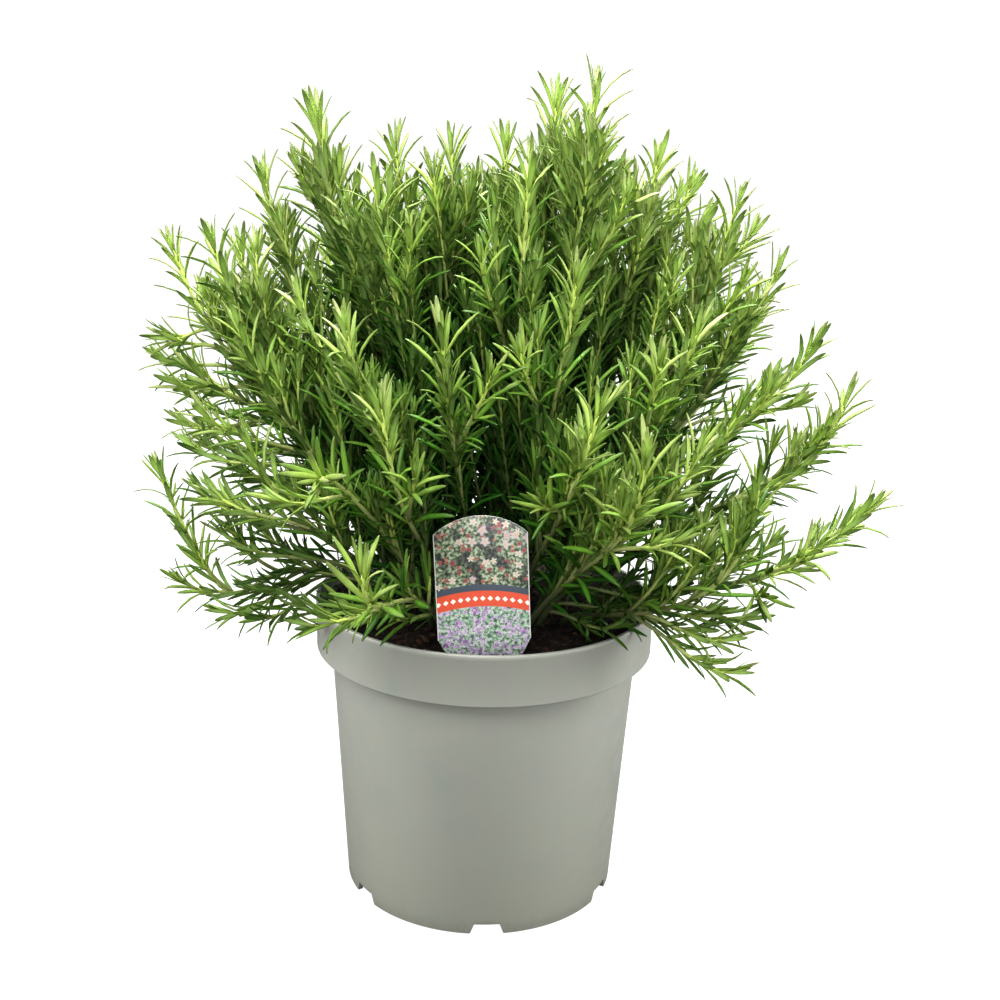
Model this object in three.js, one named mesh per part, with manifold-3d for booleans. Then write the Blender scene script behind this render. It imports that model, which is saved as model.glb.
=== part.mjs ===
// A potted rosemary: a 19 cm nursery pot, its compost, a plant label and the leafy stems.
// Millimetres, +Z up. The origin is on the ground at the pot's axis, and -Y is the front.
import * as THREE from 'three';
import { mergeVertices } from 'three/addons/utils/BufferGeometryUtils.js';
import Module from 'manifold-3d';

const wasm = await Module();
wasm.setup();

// ---------------------------------------------------------------- driving dimensions

const GAP = 0.35; // between two pieces that touch on the real plant

const POT = {
  segments: 36,
  height: 170,
  rimRadius: 95, // outside of the band, and of the lip on top of it
  bandHeight: 28,
  bandRadius: 94.6,
  wallTopRadius: 86.3,
  baseRadius: 77.2,
  thickness: 1.8,
  footThickness: 3,
  footHeight: 6,
  floorThickness: 2.2,
  lipHeight: 3,
  lipThickness: 2.4,
};
const NOTCH = { count: 6, firstAngle: -86, bottomWidth: 19, topWidth: 14 }; // degrees round from +X
const DRAIN = { radius: 5, ringRadius: 52 };

const SOIL = {
  edgeHeight: 159,
  mound: 6,
  lump: 1.3,
  lumpLengths: [7.3, 9.1, 6.1, 15.7], // of the waves that make the lumps
  rings: 4,
};

const LABEL = {
  y: -75,
  centreX: 1,
  lean: -3.4, // degrees, the top to the left
  thickness: 0.8,
  width: 48,
  top: 238,
  arch: 9.5,
  shoulderTop: 172,
  shoulderBottom: 163,
  shoulderWidth: 39,
  stakeTop: 144,
  stakeWidth: 14,
  stakePoint: 108,
};

const STEM = {
  sides: 4, // young rosemary stems are square
  steps: 6, // along the part above the compost
  leaning: [0.9, 0.55], // of its slant, at its foot and at its tip
  bending: [0.36, 0.3], // of its length, from its foot and from its tip
  footRadius: 2.9,
  tipRadius: 1.4,
  bud: 3, // the pointed end beyond the last ring
  depth: 30, // in the compost
  outermostFoot: 64,
  footSpacing: 15,
};

const TWIG = {
  radius: 1.9,
  steps: 3,
  following: 0.5, // how much it sets off along its stem
  rising: 0.7, // how much its tip turns up
  bending: [0.35, 0.3],
};

const NEEDLE = {
  length: 23,
  width: 3.2,
  thickness: 1.4,
  widest: 0.36, // of its length
  opening: [0.75, 1.0], // radians from its stem
  tuftOpening: 0.5,
  curling: 0.25, // radians towards the stem, beyond its widest place
  sunk: 0.45, // of its stem's radius, past the middle of the stem
  overJoint: 0.15, // of a step, so that it stands clear of the edges of its stem's faces
  beyondTip: 14, // how far the top needles stand over the end of their stem
  bareSteps: 2, // of a stem or twig, from its root, with no needles
  tuft: [5.5, 2], // the last pairs of a stem, below its end
  twigTuft: [3],
};

// The leafy stems by their tips [x, y, z]. A stem that arches has its two bends, the points its
// curve leaves the foot and reaches the tip by. Each twig is [share along the stem, x, y, z].
const STEMS = [
  { tip: [-189, 30, 242], bends: [[-150, 14, 220], [-132, 26, 82]], twigs: [[0.62, -162, 0, 205]] },
  { tip: [-174, 20, 370], twigs: [[0.5, -158, -14, 312]] },
  { tip: [-144, -20, 377], twigs: [[0.62, -136, 12, 372]] },
  { tip: [-123, 15, 409], twigs: [[0.6, -116, 42, 375]] },
  { tip: [-95, 25, 436], twigs: [[0.6, -78, 6, 398]] },
  { tip: [-55, 40, 426], twigs: [] },
  { tip: [-61, -15, 410], twigs: [[0.55, -42, -50, 388]] },
  { tip: [-24, 35, 426], twigs: [[0.6, -32, -4, 415]] },
  { tip: [6, 60, 427], twigs: [] },
  { tip: [17, -35, 415], twigs: [[0.55, -6, -62, 378]] },
  { tip: [32, 35, 451], twigs: [] },
  { tip: [51, 0, 457], twigs: [[0.55, 66, -34, 408]] },
  { tip: [86, 15, 423], twigs: [[0.6, 108, 44, 409]] },
  { tip: [129, 10, 403], twigs: [[0.5, 127, -30, 365]] },
  { tip: [154, 20, 366], twigs: [[0.6, 148, 52, 340]] },
  { tip: [173, 0, 329], bends: [[62, 0, 258], [135, 0, 235]], twigs: [[0.6, 144, -42, 313]] },
  { tip: [187, -25, 304], bends: [[76, -14, 226], [178, -24, 236]], twigs: [[0.62, 180, 8, 272]] },
  { tip: [192, -70, 259], bends: [[100, -42, 202], [142, -66, 184]], twigs: [[0.6, 164, -90, 246]] },
  { tip: [131, -95, 277], bends: [[44, -60, 192], [131, -92, 168]], twigs: [[0.4, 126, -88, 176]] },
  { tip: [50, -128, 318], bends: [[40, -72, 250], [34, -120, 240]], twigs: [[0.55, 26, -128, 274]] },
  { tip: [70, -148, 300], bends: [[46, -82, 226], [70, -138, 232]], twigs: [[0.55, 88, -138, 262]] },
  { tip: [40, -75, 370], twigs: [[0.55, 14, -92, 338]] },
  { tip: [-51, -105, 312], bends: [[-40, -66, 240], [-42, -104, 236]], twigs: [[0.5, -34, -118, 284]] },
  { tip: [-77, -132, 283], bends: [[-46, -72, 232], [-80, -94, 268]], twigs: [[0.6, -98, -112, 268]] },
  { tip: [-56, -148, 246], bends: [[-36, -80, 222], [-56, -140, 186]], twigs: [[0.55, -74, -132, 216]] },
  { tip: [-125, -55, 340], twigs: [[0.55, -140, -74, 300]] },
  { tip: [-69, -90, 347], twigs: [[0.6, -94, -64, 356]] },
  { tip: [-23, -100, 346], twigs: [[0.6, 0, -112, 330]] },
  { tip: [101, -70, 348], twigs: [[0.6, 79, -98, 336]] },
  { tip: [99, -110, 297], twigs: [[0.5, 120, -92, 312]] },
  { tip: [-117, -80, 285], twigs: [[0.55, -138, -62, 256]] },
  { tip: [-150, 75, 332], twigs: [[0.55, -166, 52, 296]] },
  { tip: [-100, 108, 362], twigs: [] },
  { tip: [-40, 118, 384], twigs: [] },
  { tip: [28, 122, 384], twigs: [] },
  { tip: [92, 102, 372], twigs: [[0.55, 100, 128, 332]] },
  { tip: [152, 68, 334], twigs: [[0.55, 168, 86, 294]] },
  { tip: [-82, 144, 276], twigs: [[0.55, -108, 132, 256]] },
  { tip: [22, 149, 284], twigs: [[0.55, -6, 146, 266]] },
  { tip: [112, 130, 270], twigs: [[0.55, 136, 114, 252]] },
];

// ---------------------------------------------------------------- small helpers

const UP = new THREE.Vector3(0, 0, 1);
const radians = THREE.MathUtils.degToRad;
const mix = (a, b, share) => a + (b - a) * share;
const vector = ([x, y, z]) => new THREE.Vector3(x, y, z);

// A repeatable draw from 0 to 1 (Park and Miller's generator).
function makeDraw(seed) {
  let state = seed;
  return () => (state = (state * 16807) % 2147483647) / 2147483647;
}

function signedVolume(positions, indices) {
  const corner = (i) => new THREE.Vector3().fromArray(positions, 3 * indices[i]);
  let volume = 0;
  for (let i = 0; i < indices.length; i += 3) {
    volume += corner(i).dot(corner(i + 1).cross(corner(i + 2))) / 6;
  }
  return volume;
}

// A closed three.js geometry as a solid, with its faces turned out.
function solid(geometry) {
  const bare = geometry.clone();
  bare.deleteAttribute('normal');
  bare.deleteAttribute('uv');
  const merged = mergeVertices(bare, 1e-4);
  const vertProperties = new Float32Array(merged.attributes.position.array);
  const corners = Array.from(merged.index.array);
  const triVerts = [];
  for (let i = 0; i < corners.length; i += 3) {
    const [a, b, c] = corners.slice(i, i + 3);
    if (a !== b && b !== c && c !== a) triVerts.push(a, b, c);
  }
  if (signedVolume(vertProperties, triVerts) < 0) triVerts.reverse();
  const mesh = new wasm.Mesh({ numProp: 3, vertProperties, triVerts: new Uint32Array(triVerts) });
  return new wasm.Manifold(mesh);
}

function part(name, body, material) {
  const { vertProperties, triVerts } = body.getMesh();
  const geometry = new THREE.BufferGeometry();
  geometry.setAttribute('position', new THREE.BufferAttribute(vertProperties, 3));
  geometry.setIndex(new THREE.BufferAttribute(triVerts, 1));
  geometry.computeVertexNormals();
  const mesh = new THREE.Mesh(geometry, material);
  mesh.name = name;
  return mesh;
}

// A body through rings of points. A ring of one point is a pointed end, others are capped flat.
function loft(rings) {
  const starts = rings.map((_, i) => rings.slice(0, i).reduce((sum, ring) => sum + ring.length, 0));
  const corners = [];
  for (let i = 0; i + 1 < rings.length; i++) {
    const count = rings[i].length;
    for (let j = 0; j < count; j++) {
      const k = (j + 1) % count;
      const [a, b] = [starts[i] + j, starts[i] + k];
      if (rings[i + 1].length === 1) corners.push(a, b, starts[i + 1]);
      else corners.push(a, b, starts[i + 1] + k, a, starts[i + 1] + k, starts[i + 1] + j);
    }
  }
  for (let j = 1; j + 1 < rings[0].length; j++) corners.push(0, j + 1, j);
  const last = starts[rings.length - 1];
  for (let j = 1; j + 1 < rings.at(-1).length; j++) corners.push(last, last + j, last + j + 1);
  const geometry = new THREE.BufferGeometry().setFromPoints(rings.flat());
  geometry.setIndex(corners);
  return geometry;
}

// A body that is pointed at both ends.
function spindle(start, section, end) {
  const geometry = new THREE.BufferGeometry().setFromPoints([start, ...section, end]);
  const last = section.length + 1;
  geometry.setIndex(section.flatMap((_, i) => {
    const [a, b] = [i + 1, ((i + 1) % section.length) + 1];
    return [0, b, a, a, b, last];
  }));
  return geometry;
}

// A body of revolution about Z, from a closed [radius, z] profile.
function revolve(profile, segments) {
  const points = profile.map(([radius, z]) => new THREE.Vector2(radius, z));
  return new THREE.LatheGeometry(points, segments).rotateX(Math.PI / 2);
}

// ---------------------------------------------------------------- pot

const bandBottom = POT.height - POT.bandHeight;
const floorTop = POT.footHeight + POT.floorThickness;

// The outside radius of the tapered wall at a height.
const wallRadius = (z) => mix(POT.baseRadius, POT.wallTopRadius, z / bandBottom);

function makePot() {
  const stepTop = bandBottom + POT.thickness;
  const lipBottom = POT.height - POT.lipHeight;
  const footInside = POT.baseRadius - POT.footThickness;
  const profile = [
    [0, POT.footHeight],
    [footInside, POT.footHeight],
    [footInside, 0],
    [POT.baseRadius, 0],
    [POT.wallTopRadius, bandBottom],
    [POT.bandRadius, bandBottom],
    [POT.bandRadius, lipBottom],
    [POT.rimRadius, lipBottom + 0.6],
    [POT.rimRadius, POT.height - 0.6],
    [POT.rimRadius - 0.6, POT.height],
    [POT.rimRadius - POT.lipThickness, POT.height],
    [POT.bandRadius - POT.thickness, lipBottom],
    [POT.bandRadius - POT.thickness, stepTop],
    [POT.wallTopRadius - POT.thickness, stepTop],
    [wallRadius(floorTop) - POT.thickness, floorTop],
    [0, floorTop],
  ];
  let pot = solid(revolve(profile, POT.segments));
  for (let i = 0; i < NOTCH.count; i++) {
    pot = pot.subtract(solid(notch(radians(NOTCH.firstAngle + (360 / NOTCH.count) * i))));
  }
  pot = pot.subtract(solid(drainHole(0, 0)));
  for (let i = 0; i < NOTCH.count; i++) {
    const angle = radians(NOTCH.firstAngle + (360 / NOTCH.count) * (i + 0.5));
    const [x, y] = [DRAIN.ringRadius * Math.cos(angle), DRAIN.ringRadius * Math.sin(angle)];
    pot = pot.subtract(solid(drainHole(x, y)));
  }
  return pot;
}

// The drainage notch through the foot ring, wider at the ground.
function notch(angle) {
  const shape = new THREE.Shape([
    new THREE.Vector2(-NOTCH.bottomWidth / 2, -1),
    new THREE.Vector2(NOTCH.bottomWidth / 2, -1),
    new THREE.Vector2(NOTCH.topWidth / 2, POT.footHeight),
    new THREE.Vector2(-NOTCH.topWidth / 2, POT.footHeight),
  ]);
  const depth = 12;
  const geometry = new THREE.ExtrudeGeometry(shape, { depth, bevelEnabled: false });
  geometry.rotateX(Math.PI / 2).translate(0, depth / 2 - POT.baseRadius, 0);
  return geometry.rotateZ(angle + Math.PI / 2);
}

function drainHole(x, y) {
  const hole = new THREE.CylinderGeometry(DRAIN.radius, DRAIN.radius, 3 * POT.floorThickness, 12);
  return hole.rotateX(Math.PI / 2).translate(x, y, floorTop);
}

// ---------------------------------------------------------------- compost

// A low mound with soft lumps.
function soilHeight(x, y) {
  const radius = POT.bandRadius - POT.thickness;
  const mound = SOIL.mound * (1 - (x * x + y * y) / radius ** 2);
  const [a, b, c, d] = SOIL.lumpLengths;
  const lumps = Math.sin(x / a + Math.sin(y / b)) * Math.cos(y / c - x / d);
  return SOIL.edgeHeight + mound + SOIL.lump * lumps;
}

function makeSoil(stems) {
  const bandInside = POT.bandRadius - POT.thickness - GAP;
  const stepTop = bandBottom + POT.thickness + GAP;
  const ring = (radius, height) => {
    const points = [];
    for (let i = 0; i < POT.segments; i++) {
      const angle = (2 * Math.PI * i) / POT.segments;
      const [x, y] = [radius * Math.sin(angle), radius * Math.cos(angle)];
      points.push(new THREE.Vector3(x, y, height ?? soilHeight(x, y)));
    }
    return points;
  };
  const rings = [
    ring(wallRadius(floorTop) - POT.thickness - GAP, floorTop + GAP),
    ring(POT.wallTopRadius - POT.thickness - GAP, stepTop),
    ring(bandInside, stepTop),
  ];
  for (let i = SOIL.rings; i > 0; i--) rings.push(ring((bandInside * i) / SOIL.rings));
  rings.push([new THREE.Vector3(0, 0, soilHeight(0, 0))]);
  let soil = solid(loft(rings)).subtract(placeLabel(labelBlank(GAP)));
  for (const curve of stems) {
    const radius = STEM.footRadius + GAP * Math.SQRT2;
    const ends = [STEM.depth + GAP, -SOIL.mound].map((down) => footRing(curve, down, radius));
    soil = soil.subtract(solid(loft(ends)));
  }
  return soil;
}

// ---------------------------------------------------------------- plant label

// The label's outline, grown all round for its slot in the compost.
function labelBlank(grow) {
  const half = LABEL.width / 2 + grow;
  const shoulder = LABEL.shoulderWidth / 2 + grow;
  const stake = LABEL.stakeWidth / 2 + grow;
  const shape = new THREE.Shape();
  shape.moveTo(0, LABEL.stakePoint - 2 * grow);
  shape.lineTo(stake, LABEL.stakePoint + LABEL.stakeWidth);
  shape.lineTo(stake, LABEL.stakeTop);
  shape.lineTo(shoulder, LABEL.shoulderBottom - grow);
  shape.lineTo(half, LABEL.shoulderTop);
  const archRadius = (LABEL.width ** 2 / 4 + LABEL.arch ** 2) / (2 * LABEL.arch) + grow;
  const swing = Math.asin(half / archRadius);
  const [archStart, archEnd] = [Math.PI / 2 - swing, Math.PI / 2 + swing];
  shape.absarc(0, LABEL.top - archRadius + grow, archRadius, archStart, archEnd, false);
  shape.lineTo(-half, LABEL.shoulderTop);
  shape.lineTo(-shoulder, LABEL.shoulderBottom - grow);
  shape.lineTo(-stake, LABEL.stakeTop);
  shape.lineTo(-stake, LABEL.stakePoint + LABEL.stakeWidth);
  const depth = LABEL.thickness + 2 * grow;
  const blank = new THREE.ExtrudeGeometry(shape, { depth, bevelEnabled: false, curveSegments: 8 });
  return blank.rotateX(Math.PI / 2).translate(0, depth / 2, 0);
}

// The label leans in its own plane about the point where it enters the compost.
function placeLabel(blank) {
  blank.translate(0, 0, -SOIL.edgeHeight).rotateY(radians(LABEL.lean));
  return solid(blank.translate(LABEL.centreX, LABEL.y, SOIL.edgeHeight));
}

// ---------------------------------------------------------------- stems

// Each foot lies under its tip's bearing, farther out for a lower tip, and clear of the others.
function placeFeet() {
  const feet = STEMS.map(({ tip: [x, y, z] }) => {
    const reach = Math.hypot(x, y);
    const tilt = Math.atan2(reach, z - SOIL.edgeHeight) / radians(70);
    return new THREE.Vector3(x, y, 0).multiplyScalar((STEM.outermostFoot * Math.min(tilt, 1)) / reach);
  });
  for (let pass = 0; pass < 200; pass++) {
    for (const a of feet) {
      for (const b of feet) {
        const apart = a.distanceTo(b);
        if (a === b || apart >= STEM.footSpacing) continue;
        const push = b.clone().sub(a).setLength((STEM.footSpacing - apart) / 4);
        a.sub(push);
        b.add(push);
      }
      a.clampLength(0, STEM.outermostFoot);
    }
  }
  for (const foot of feet) foot.z = soilHeight(foot.x, foot.y);
  return feet;
}

// A stem leaves its foot at a slant and turns up towards its tip.
function stemCurve(foot, { tip, bends }) {
  const end = vector(tip).addScaledVector(UP, -NEEDLE.beyondTip);
  if (bends) return new THREE.CubicBezierCurve3(foot, vector(bends[0]), vector(bends[1]), end);
  const chord = end.clone().sub(foot);
  const length = chord.length();
  const lean = new THREE.Vector3(chord.x, chord.y, 0).multiplyScalar(1 / length);
  const [leaving, arriving] = STEM.leaning.map((share, i) =>
    UP.clone().addScaledVector(lean, share).setLength(length * STEM.bending[i]));
  return new THREE.CubicBezierCurve3(foot, foot.clone().add(leaving), end.clone().sub(arriving), end);
}

// A twig leaves its stem at a slant and turns up too.
function twigCurve(stem, [share, x, y, z]) {
  const start = stem.getPoint(share);
  const end = new THREE.Vector3(x, y, z - NEEDLE.beyondTip);
  const chord = end.clone().sub(start);
  const length = chord.length();
  const leaving = chord.clone().addScaledVector(stem.getTangent(share), TWIG.following * length);
  const arriving = chord.clone().addScaledVector(UP, TWIG.rising * length);
  leaving.setLength(length * TWIG.bending[0]);
  arriving.setLength(length * TWIG.bending[1]);
  return new THREE.CubicBezierCurve3(start, start.clone().add(leaving), end.clone().sub(arriving), end);
}

// Two directions square to a curve's tangent, the first one level.
function squareTo(tangent, level) {
  const side = level.clone().addScaledVector(tangent, -level.dot(tangent)).normalize();
  return [side, tangent.clone().cross(side)];
}

const levelSide = (curve) => {
  const chord = curve.v3.clone().sub(curve.v0);
  return new THREE.Vector3(-chord.y, chord.x, 0).normalize();
};

// The rings of a tapered stem or twig, with a pointed bud at its end.
function stemRings(curve, steps, startRadius) {
  const level = levelSide(curve);
  const rings = [];
  for (let i = 0; i <= steps; i++) {
    const share = i / steps;
    const [side, across] = squareTo(curve.getTangent(share), level);
    const radius = mix(startRadius, STEM.tipRadius, share);
    rings.push(polygon(curve.getPoint(share), side, across, radius));
  }
  rings.push([curve.getPoint(1).addScaledVector(curve.getTangent(1), STEM.bud)]);
  return rings;
}

function polygon(centre, side, across, radius) {
  return Array.from({ length: STEM.sides }, (_, i) => {
    const angle = (2 * Math.PI * (i + 0.5)) / STEM.sides;
    const point = centre.clone().addScaledVector(side, radius * Math.cos(angle));
    return point.addScaledVector(across, radius * Math.sin(angle));
  });
}

// A ring of the straight foot, so far down from the compost's surface.
function footRing(curve, down, radius) {
  const [side, across] = squareTo(UP, levelSide(curve));
  return polygon(curve.v0.clone().addScaledVector(UP, -down), side, across, radius);
}

// The stem proper, with its straight foot in the compost.
function stemBody(curve) {
  const buried = [STEM.depth, -0.5].map((down) => footRing(curve, down, STEM.footRadius));
  const risen = stemRings(curve, STEM.steps, STEM.footRadius).slice(1);
  return solid(loft([...buried, ...risen]));
}

// ---------------------------------------------------------------- needles

// Beads along every stem and needle, kept in a grid, show whether a new needle runs clear.
const CELL = 8;
const grid = new Map();
const cellOf = (point) => [point.x, point.y, point.z].map((value) => Math.floor(value / CELL));

function addBead(point, radius, owner) {
  const key = cellOf(point).join();
  if (!grid.has(key)) grid.set(key, []);
  grid.get(key).push({ point, radius, owner });
}

function beadsNear(point) {
  const [i, j, k] = cellOf(point);
  const near = [];
  for (let a = i - 1; a <= i + 1; a++) {
    for (let b = j - 1; b <= j + 1; b++) {
      for (let c = k - 1; c <= k + 1; c++) near.push(...(grid.get([a, b, c].join()) ?? []));
    }
  }
  return near;
}

function addStemBeads(curve, steps, startRadius, owner) {
  const points = curve.getPoints(steps);
  for (let step = 0; step < steps; step++) {
    const count = Math.ceil(points[step].distanceTo(points[step + 1]) / 3);
    for (let i = 0; i < count; i++) {
      const radius = mix(startRadius, STEM.tipRadius, (step + i / count) / steps);
      addBead(points[step].clone().lerp(points[step + 1], i / count), radius + 0.6, owner);
    }
  }
}

function addLabelBeads() {
  const half = LABEL.width / 2;
  for (let x = -half; x <= half; x += 4) {
    for (let z = SOIL.edgeHeight; z <= LABEL.top; z += 4) {
      addBead(new THREE.Vector3(LABEL.centreX + x, LABEL.y, z), 3.2, 'label');
    }
  }
}

// Whether a point lies in, or a little over, the pot or its compost.
function inPot(point) {
  const radius = Math.hypot(point.x, point.y);
  if (radius > POT.rimRadius + 3) return false;
  const top = radius > POT.bandRadius - POT.thickness - 3 ? POT.height : soilHeight(point.x, point.y);
  return point.z < top + 3;
}

function runsClear(beads, owner) {
  return beads.every((bead, i) => {
    if (inPot(bead)) return false;
    return beadsNear(bead).every((other) => {
      if (other.owner === owner && i < beads.length / 3) return true;
      return bead.distanceTo(other.point) > NEEDLE.width / 2 + 0.6 + other.radius;
    });
  });
}

// One needle: it leaves square to a flat side of its stem, bends at its widest place, there
// sideways by swing where it must miss something, and has a keel underneath.
function needle(root, tangent, out, across, { open, swing, length, sunk }) {
  const sideways = out.clone().multiplyScalar(Math.cos(swing)).addScaledVector(across, Math.sin(swing));
  const direction = (angle, level) =>
    tangent.clone().multiplyScalar(Math.cos(angle)).addScaledVector(level, Math.sin(angle));
  const start = root.clone().addScaledVector(out, -sunk);
  const lower = length * NEEDLE.widest;
  const bend = start.clone().addScaledVector(direction(open, out.clone().lerp(sideways, 0.3)), lower);
  const tip = bend.clone().addScaledVector(direction(open - NEEDLE.curling, sideways), length - lower);
  const face = direction(open - Math.PI / 2, out);
  const section = [
    bend.clone().addScaledVector(across, NEEDLE.width / 2).addScaledVector(face, NEEDLE.thickness / 3),
    bend.clone().addScaledVector(across, -NEEDLE.width / 2).addScaledVector(face, NEEDLE.thickness / 3),
    bend.clone().addScaledVector(face, (-2 * NEEDLE.thickness) / 3),
  ];
  const beads = [];
  for (let i = 1; i <= 3; i++) beads.push(start.clone().lerp(bend, i / 3));
  for (let i = 1; i <= 6; i++) beads.push(bend.clone().lerp(tip, i / 6));
  return { points: [start, section, tip], beads };
}

// Ways for a needle to pass its neighbours: [sideways swing, closer to the stem], in radians.
const WAYS = [
  [0, 0], [0.6, 0], [-0.6, 0],
  [0, 0.3], [0.5, 0.3], [-0.5, 0.3],
  [1.1, 0.1], [-1.1, 0.1], [0, 0.5],
];

// Where a stem's pairs of needles sit: one a little above each joint of its body, clear of the
// edges there, and the tuft at its end. Each is [root, direction, radius of the stem, in the tuft].
function pairPlaces(points, tuft, startRadius) {
  const steps = points.length - 1;
  const places = [];
  for (let step = NEEDLE.bareSteps; step < steps; step++) {
    const ahead = points[step + 1].clone().sub(points[step]);
    const radius = mix(startRadius, STEM.tipRadius, (step + NEEDLE.overJoint) / steps);
    const root = points[step].clone().addScaledVector(ahead, NEEDLE.overJoint);
    places.push([root, ahead.normalize(), radius, false]);
  }
  const last = points[steps].clone().sub(points[steps - 1]).normalize();
  for (const depth of tuft) {
    places.push([points[steps].clone().addScaledVector(last, -depth), last, STEM.tipRadius, true]);
  }
  return places;
}

// Pairs of needles up a stem, each pair a quarter turn from the last.
function needlesAlong(curve, steps, tuft, startRadius, owner, draw) {
  const level = levelSide(curve);
  const bodies = [];
  pairPlaces(curve.getPoints(steps), tuft, startRadius).forEach(([root, tangent, radius, inTuft], pair) => {
    const [side, across] = squareTo(tangent, level);
    for (const half of [1, -1]) {
      const out = (pair % 2 ? across : side).clone().multiplyScalar(half);
      const square = (pair % 2 ? side : across).clone();
      const shape = {
        open: inTuft ? NEEDLE.tuftOpening : mix(...NEEDLE.opening, draw()),
        length: NEEDLE.length * mix(0.9, 1.1, draw()) * (inTuft ? 0.9 : 1),
        sunk: radius * NEEDLE.sunk,
      };
      for (const [swing, close] of WAYS) {
        const made = needle(root, tangent, out, square, { ...shape, open: shape.open - close, swing });
        if (!runsClear(made.beads, owner)) continue;
        for (const bead of made.beads.slice(2)) addBead(bead, NEEDLE.width / 2, owner);
        bodies.push(solid(spindle(...made.points)));
        break;
      }
    }
  });
  return bodies;
}

// ---------------------------------------------------------------- the whole plant

const potPlastic = new THREE.MeshStandardMaterial({ color: '#9c9f94', roughness: 0.5 });
const compost = new THREE.MeshStandardMaterial({ color: '#2b211a', roughness: 1 });
const labelPlastic = new THREE.MeshStandardMaterial({ color: '#d2583f', roughness: 0.4 });
const foliage = new THREE.MeshStandardMaterial({ color: '#4d8a24', roughness: 0.6 });

function makeLeafyStems(stems) {
  addLabelBeads();
  stems.forEach(({ main, twigs }, owner) => {
    addStemBeads(main, STEM.steps, STEM.footRadius, owner);
    for (const twig of twigs) addStemBeads(twig, TWIG.steps, TWIG.radius, owner);
  });
  return stems.map(({ main, twigs }, owner) => {
    const draw = makeDraw(1000 + 77 * owner);
    let body = stemBody(main);
    for (const twig of twigs) body = body.add(solid(loft(stemRings(twig, TWIG.steps, TWIG.radius))));
    const needles = [
      ...needlesAlong(main, STEM.steps, NEEDLE.tuft, STEM.footRadius, owner, draw),
      ...twigs.flatMap((twig) =>
        needlesAlong(twig, TWIG.steps, NEEDLE.twigTuft, TWIG.radius, owner, draw)),
    ];
    for (const one of needles) body = body.add(one);
    return part(`leafy_stem_${String(owner + 1).padStart(2, '0')}`, body, foliage);
  });
}

const feet = placeFeet();
const stems = STEMS.map((row, i) => {
  const main = stemCurve(feet[i], row);
  return { main, twigs: row.twigs.map((twig) => twigCurve(main, twig)) };
});

const plant = new THREE.Group();
plant.add(part('pot', makePot(), potPlastic));
plant.add(part('soil', makeSoil(stems.map(({ main }) => main)), compost));
plant.add(part('label', placeLabel(labelBlank(0)), labelPlastic));
plant.add(...makeLeafyStems(stems));

export default plant;
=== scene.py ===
import math
import random

import bmesh
import bpy
import numpy as np
from mathutils import Matrix, Vector, kdtree


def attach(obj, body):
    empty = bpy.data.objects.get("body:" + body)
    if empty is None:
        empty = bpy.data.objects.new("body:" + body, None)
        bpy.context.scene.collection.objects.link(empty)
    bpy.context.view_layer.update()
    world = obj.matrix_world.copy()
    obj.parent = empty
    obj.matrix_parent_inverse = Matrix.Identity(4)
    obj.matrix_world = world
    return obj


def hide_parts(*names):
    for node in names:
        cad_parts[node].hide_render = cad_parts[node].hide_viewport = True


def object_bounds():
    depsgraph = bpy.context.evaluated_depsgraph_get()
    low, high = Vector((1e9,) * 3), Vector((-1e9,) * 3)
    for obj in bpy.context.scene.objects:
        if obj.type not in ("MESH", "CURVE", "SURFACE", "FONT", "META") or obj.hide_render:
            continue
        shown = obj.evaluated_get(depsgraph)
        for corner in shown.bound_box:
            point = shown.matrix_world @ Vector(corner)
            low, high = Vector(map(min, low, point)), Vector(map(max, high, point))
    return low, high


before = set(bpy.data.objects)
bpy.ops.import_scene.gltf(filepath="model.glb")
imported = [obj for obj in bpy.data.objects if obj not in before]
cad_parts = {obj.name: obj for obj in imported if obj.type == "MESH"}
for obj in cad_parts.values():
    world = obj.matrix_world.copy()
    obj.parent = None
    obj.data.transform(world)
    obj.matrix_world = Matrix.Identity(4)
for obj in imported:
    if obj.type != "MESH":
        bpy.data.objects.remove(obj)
cad_low, cad_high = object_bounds()

MM = 0.001  # sizes below are in millimetres, as in the part's source

# ---------------------------------------------------------------- sizes shared with the part

POT = dict(height=170, rim=95, band_height=28, band=94.6, wall_top=86.3, base=77.2, wall=1.8,
           foot_wall=3, foot=6, floor=2.2, lip_height=3, lip_slant=0.6, lip=2.4)
NOTCH = dict(count=6, first=-86, bottom=19, top=14)  # degrees round from +X
DRAIN = dict(radius=5, ring=52, depth=20)
SOIL = dict(edge=159, mound=6, lump=1.3)
LABEL = dict(y=-75, x=1, lean=-3.4, thickness=0.8, width=48, top=238, arch=9.5, shoulder_top=172,
             shoulder_bottom=163, shoulder=39, stake_top=144, stake=14, point=108)
OUTERMOST_FOOT, FOOT_SPACING = 64, 15
FULL_TILT = 70  # a stem that leans by this many degrees or more has the outermost foot
PUSHES = 200  # rounds in which crowded feet push each other apart
BEYOND_TIP = 14  # how far the top leaves stand over the end of their stem

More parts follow.
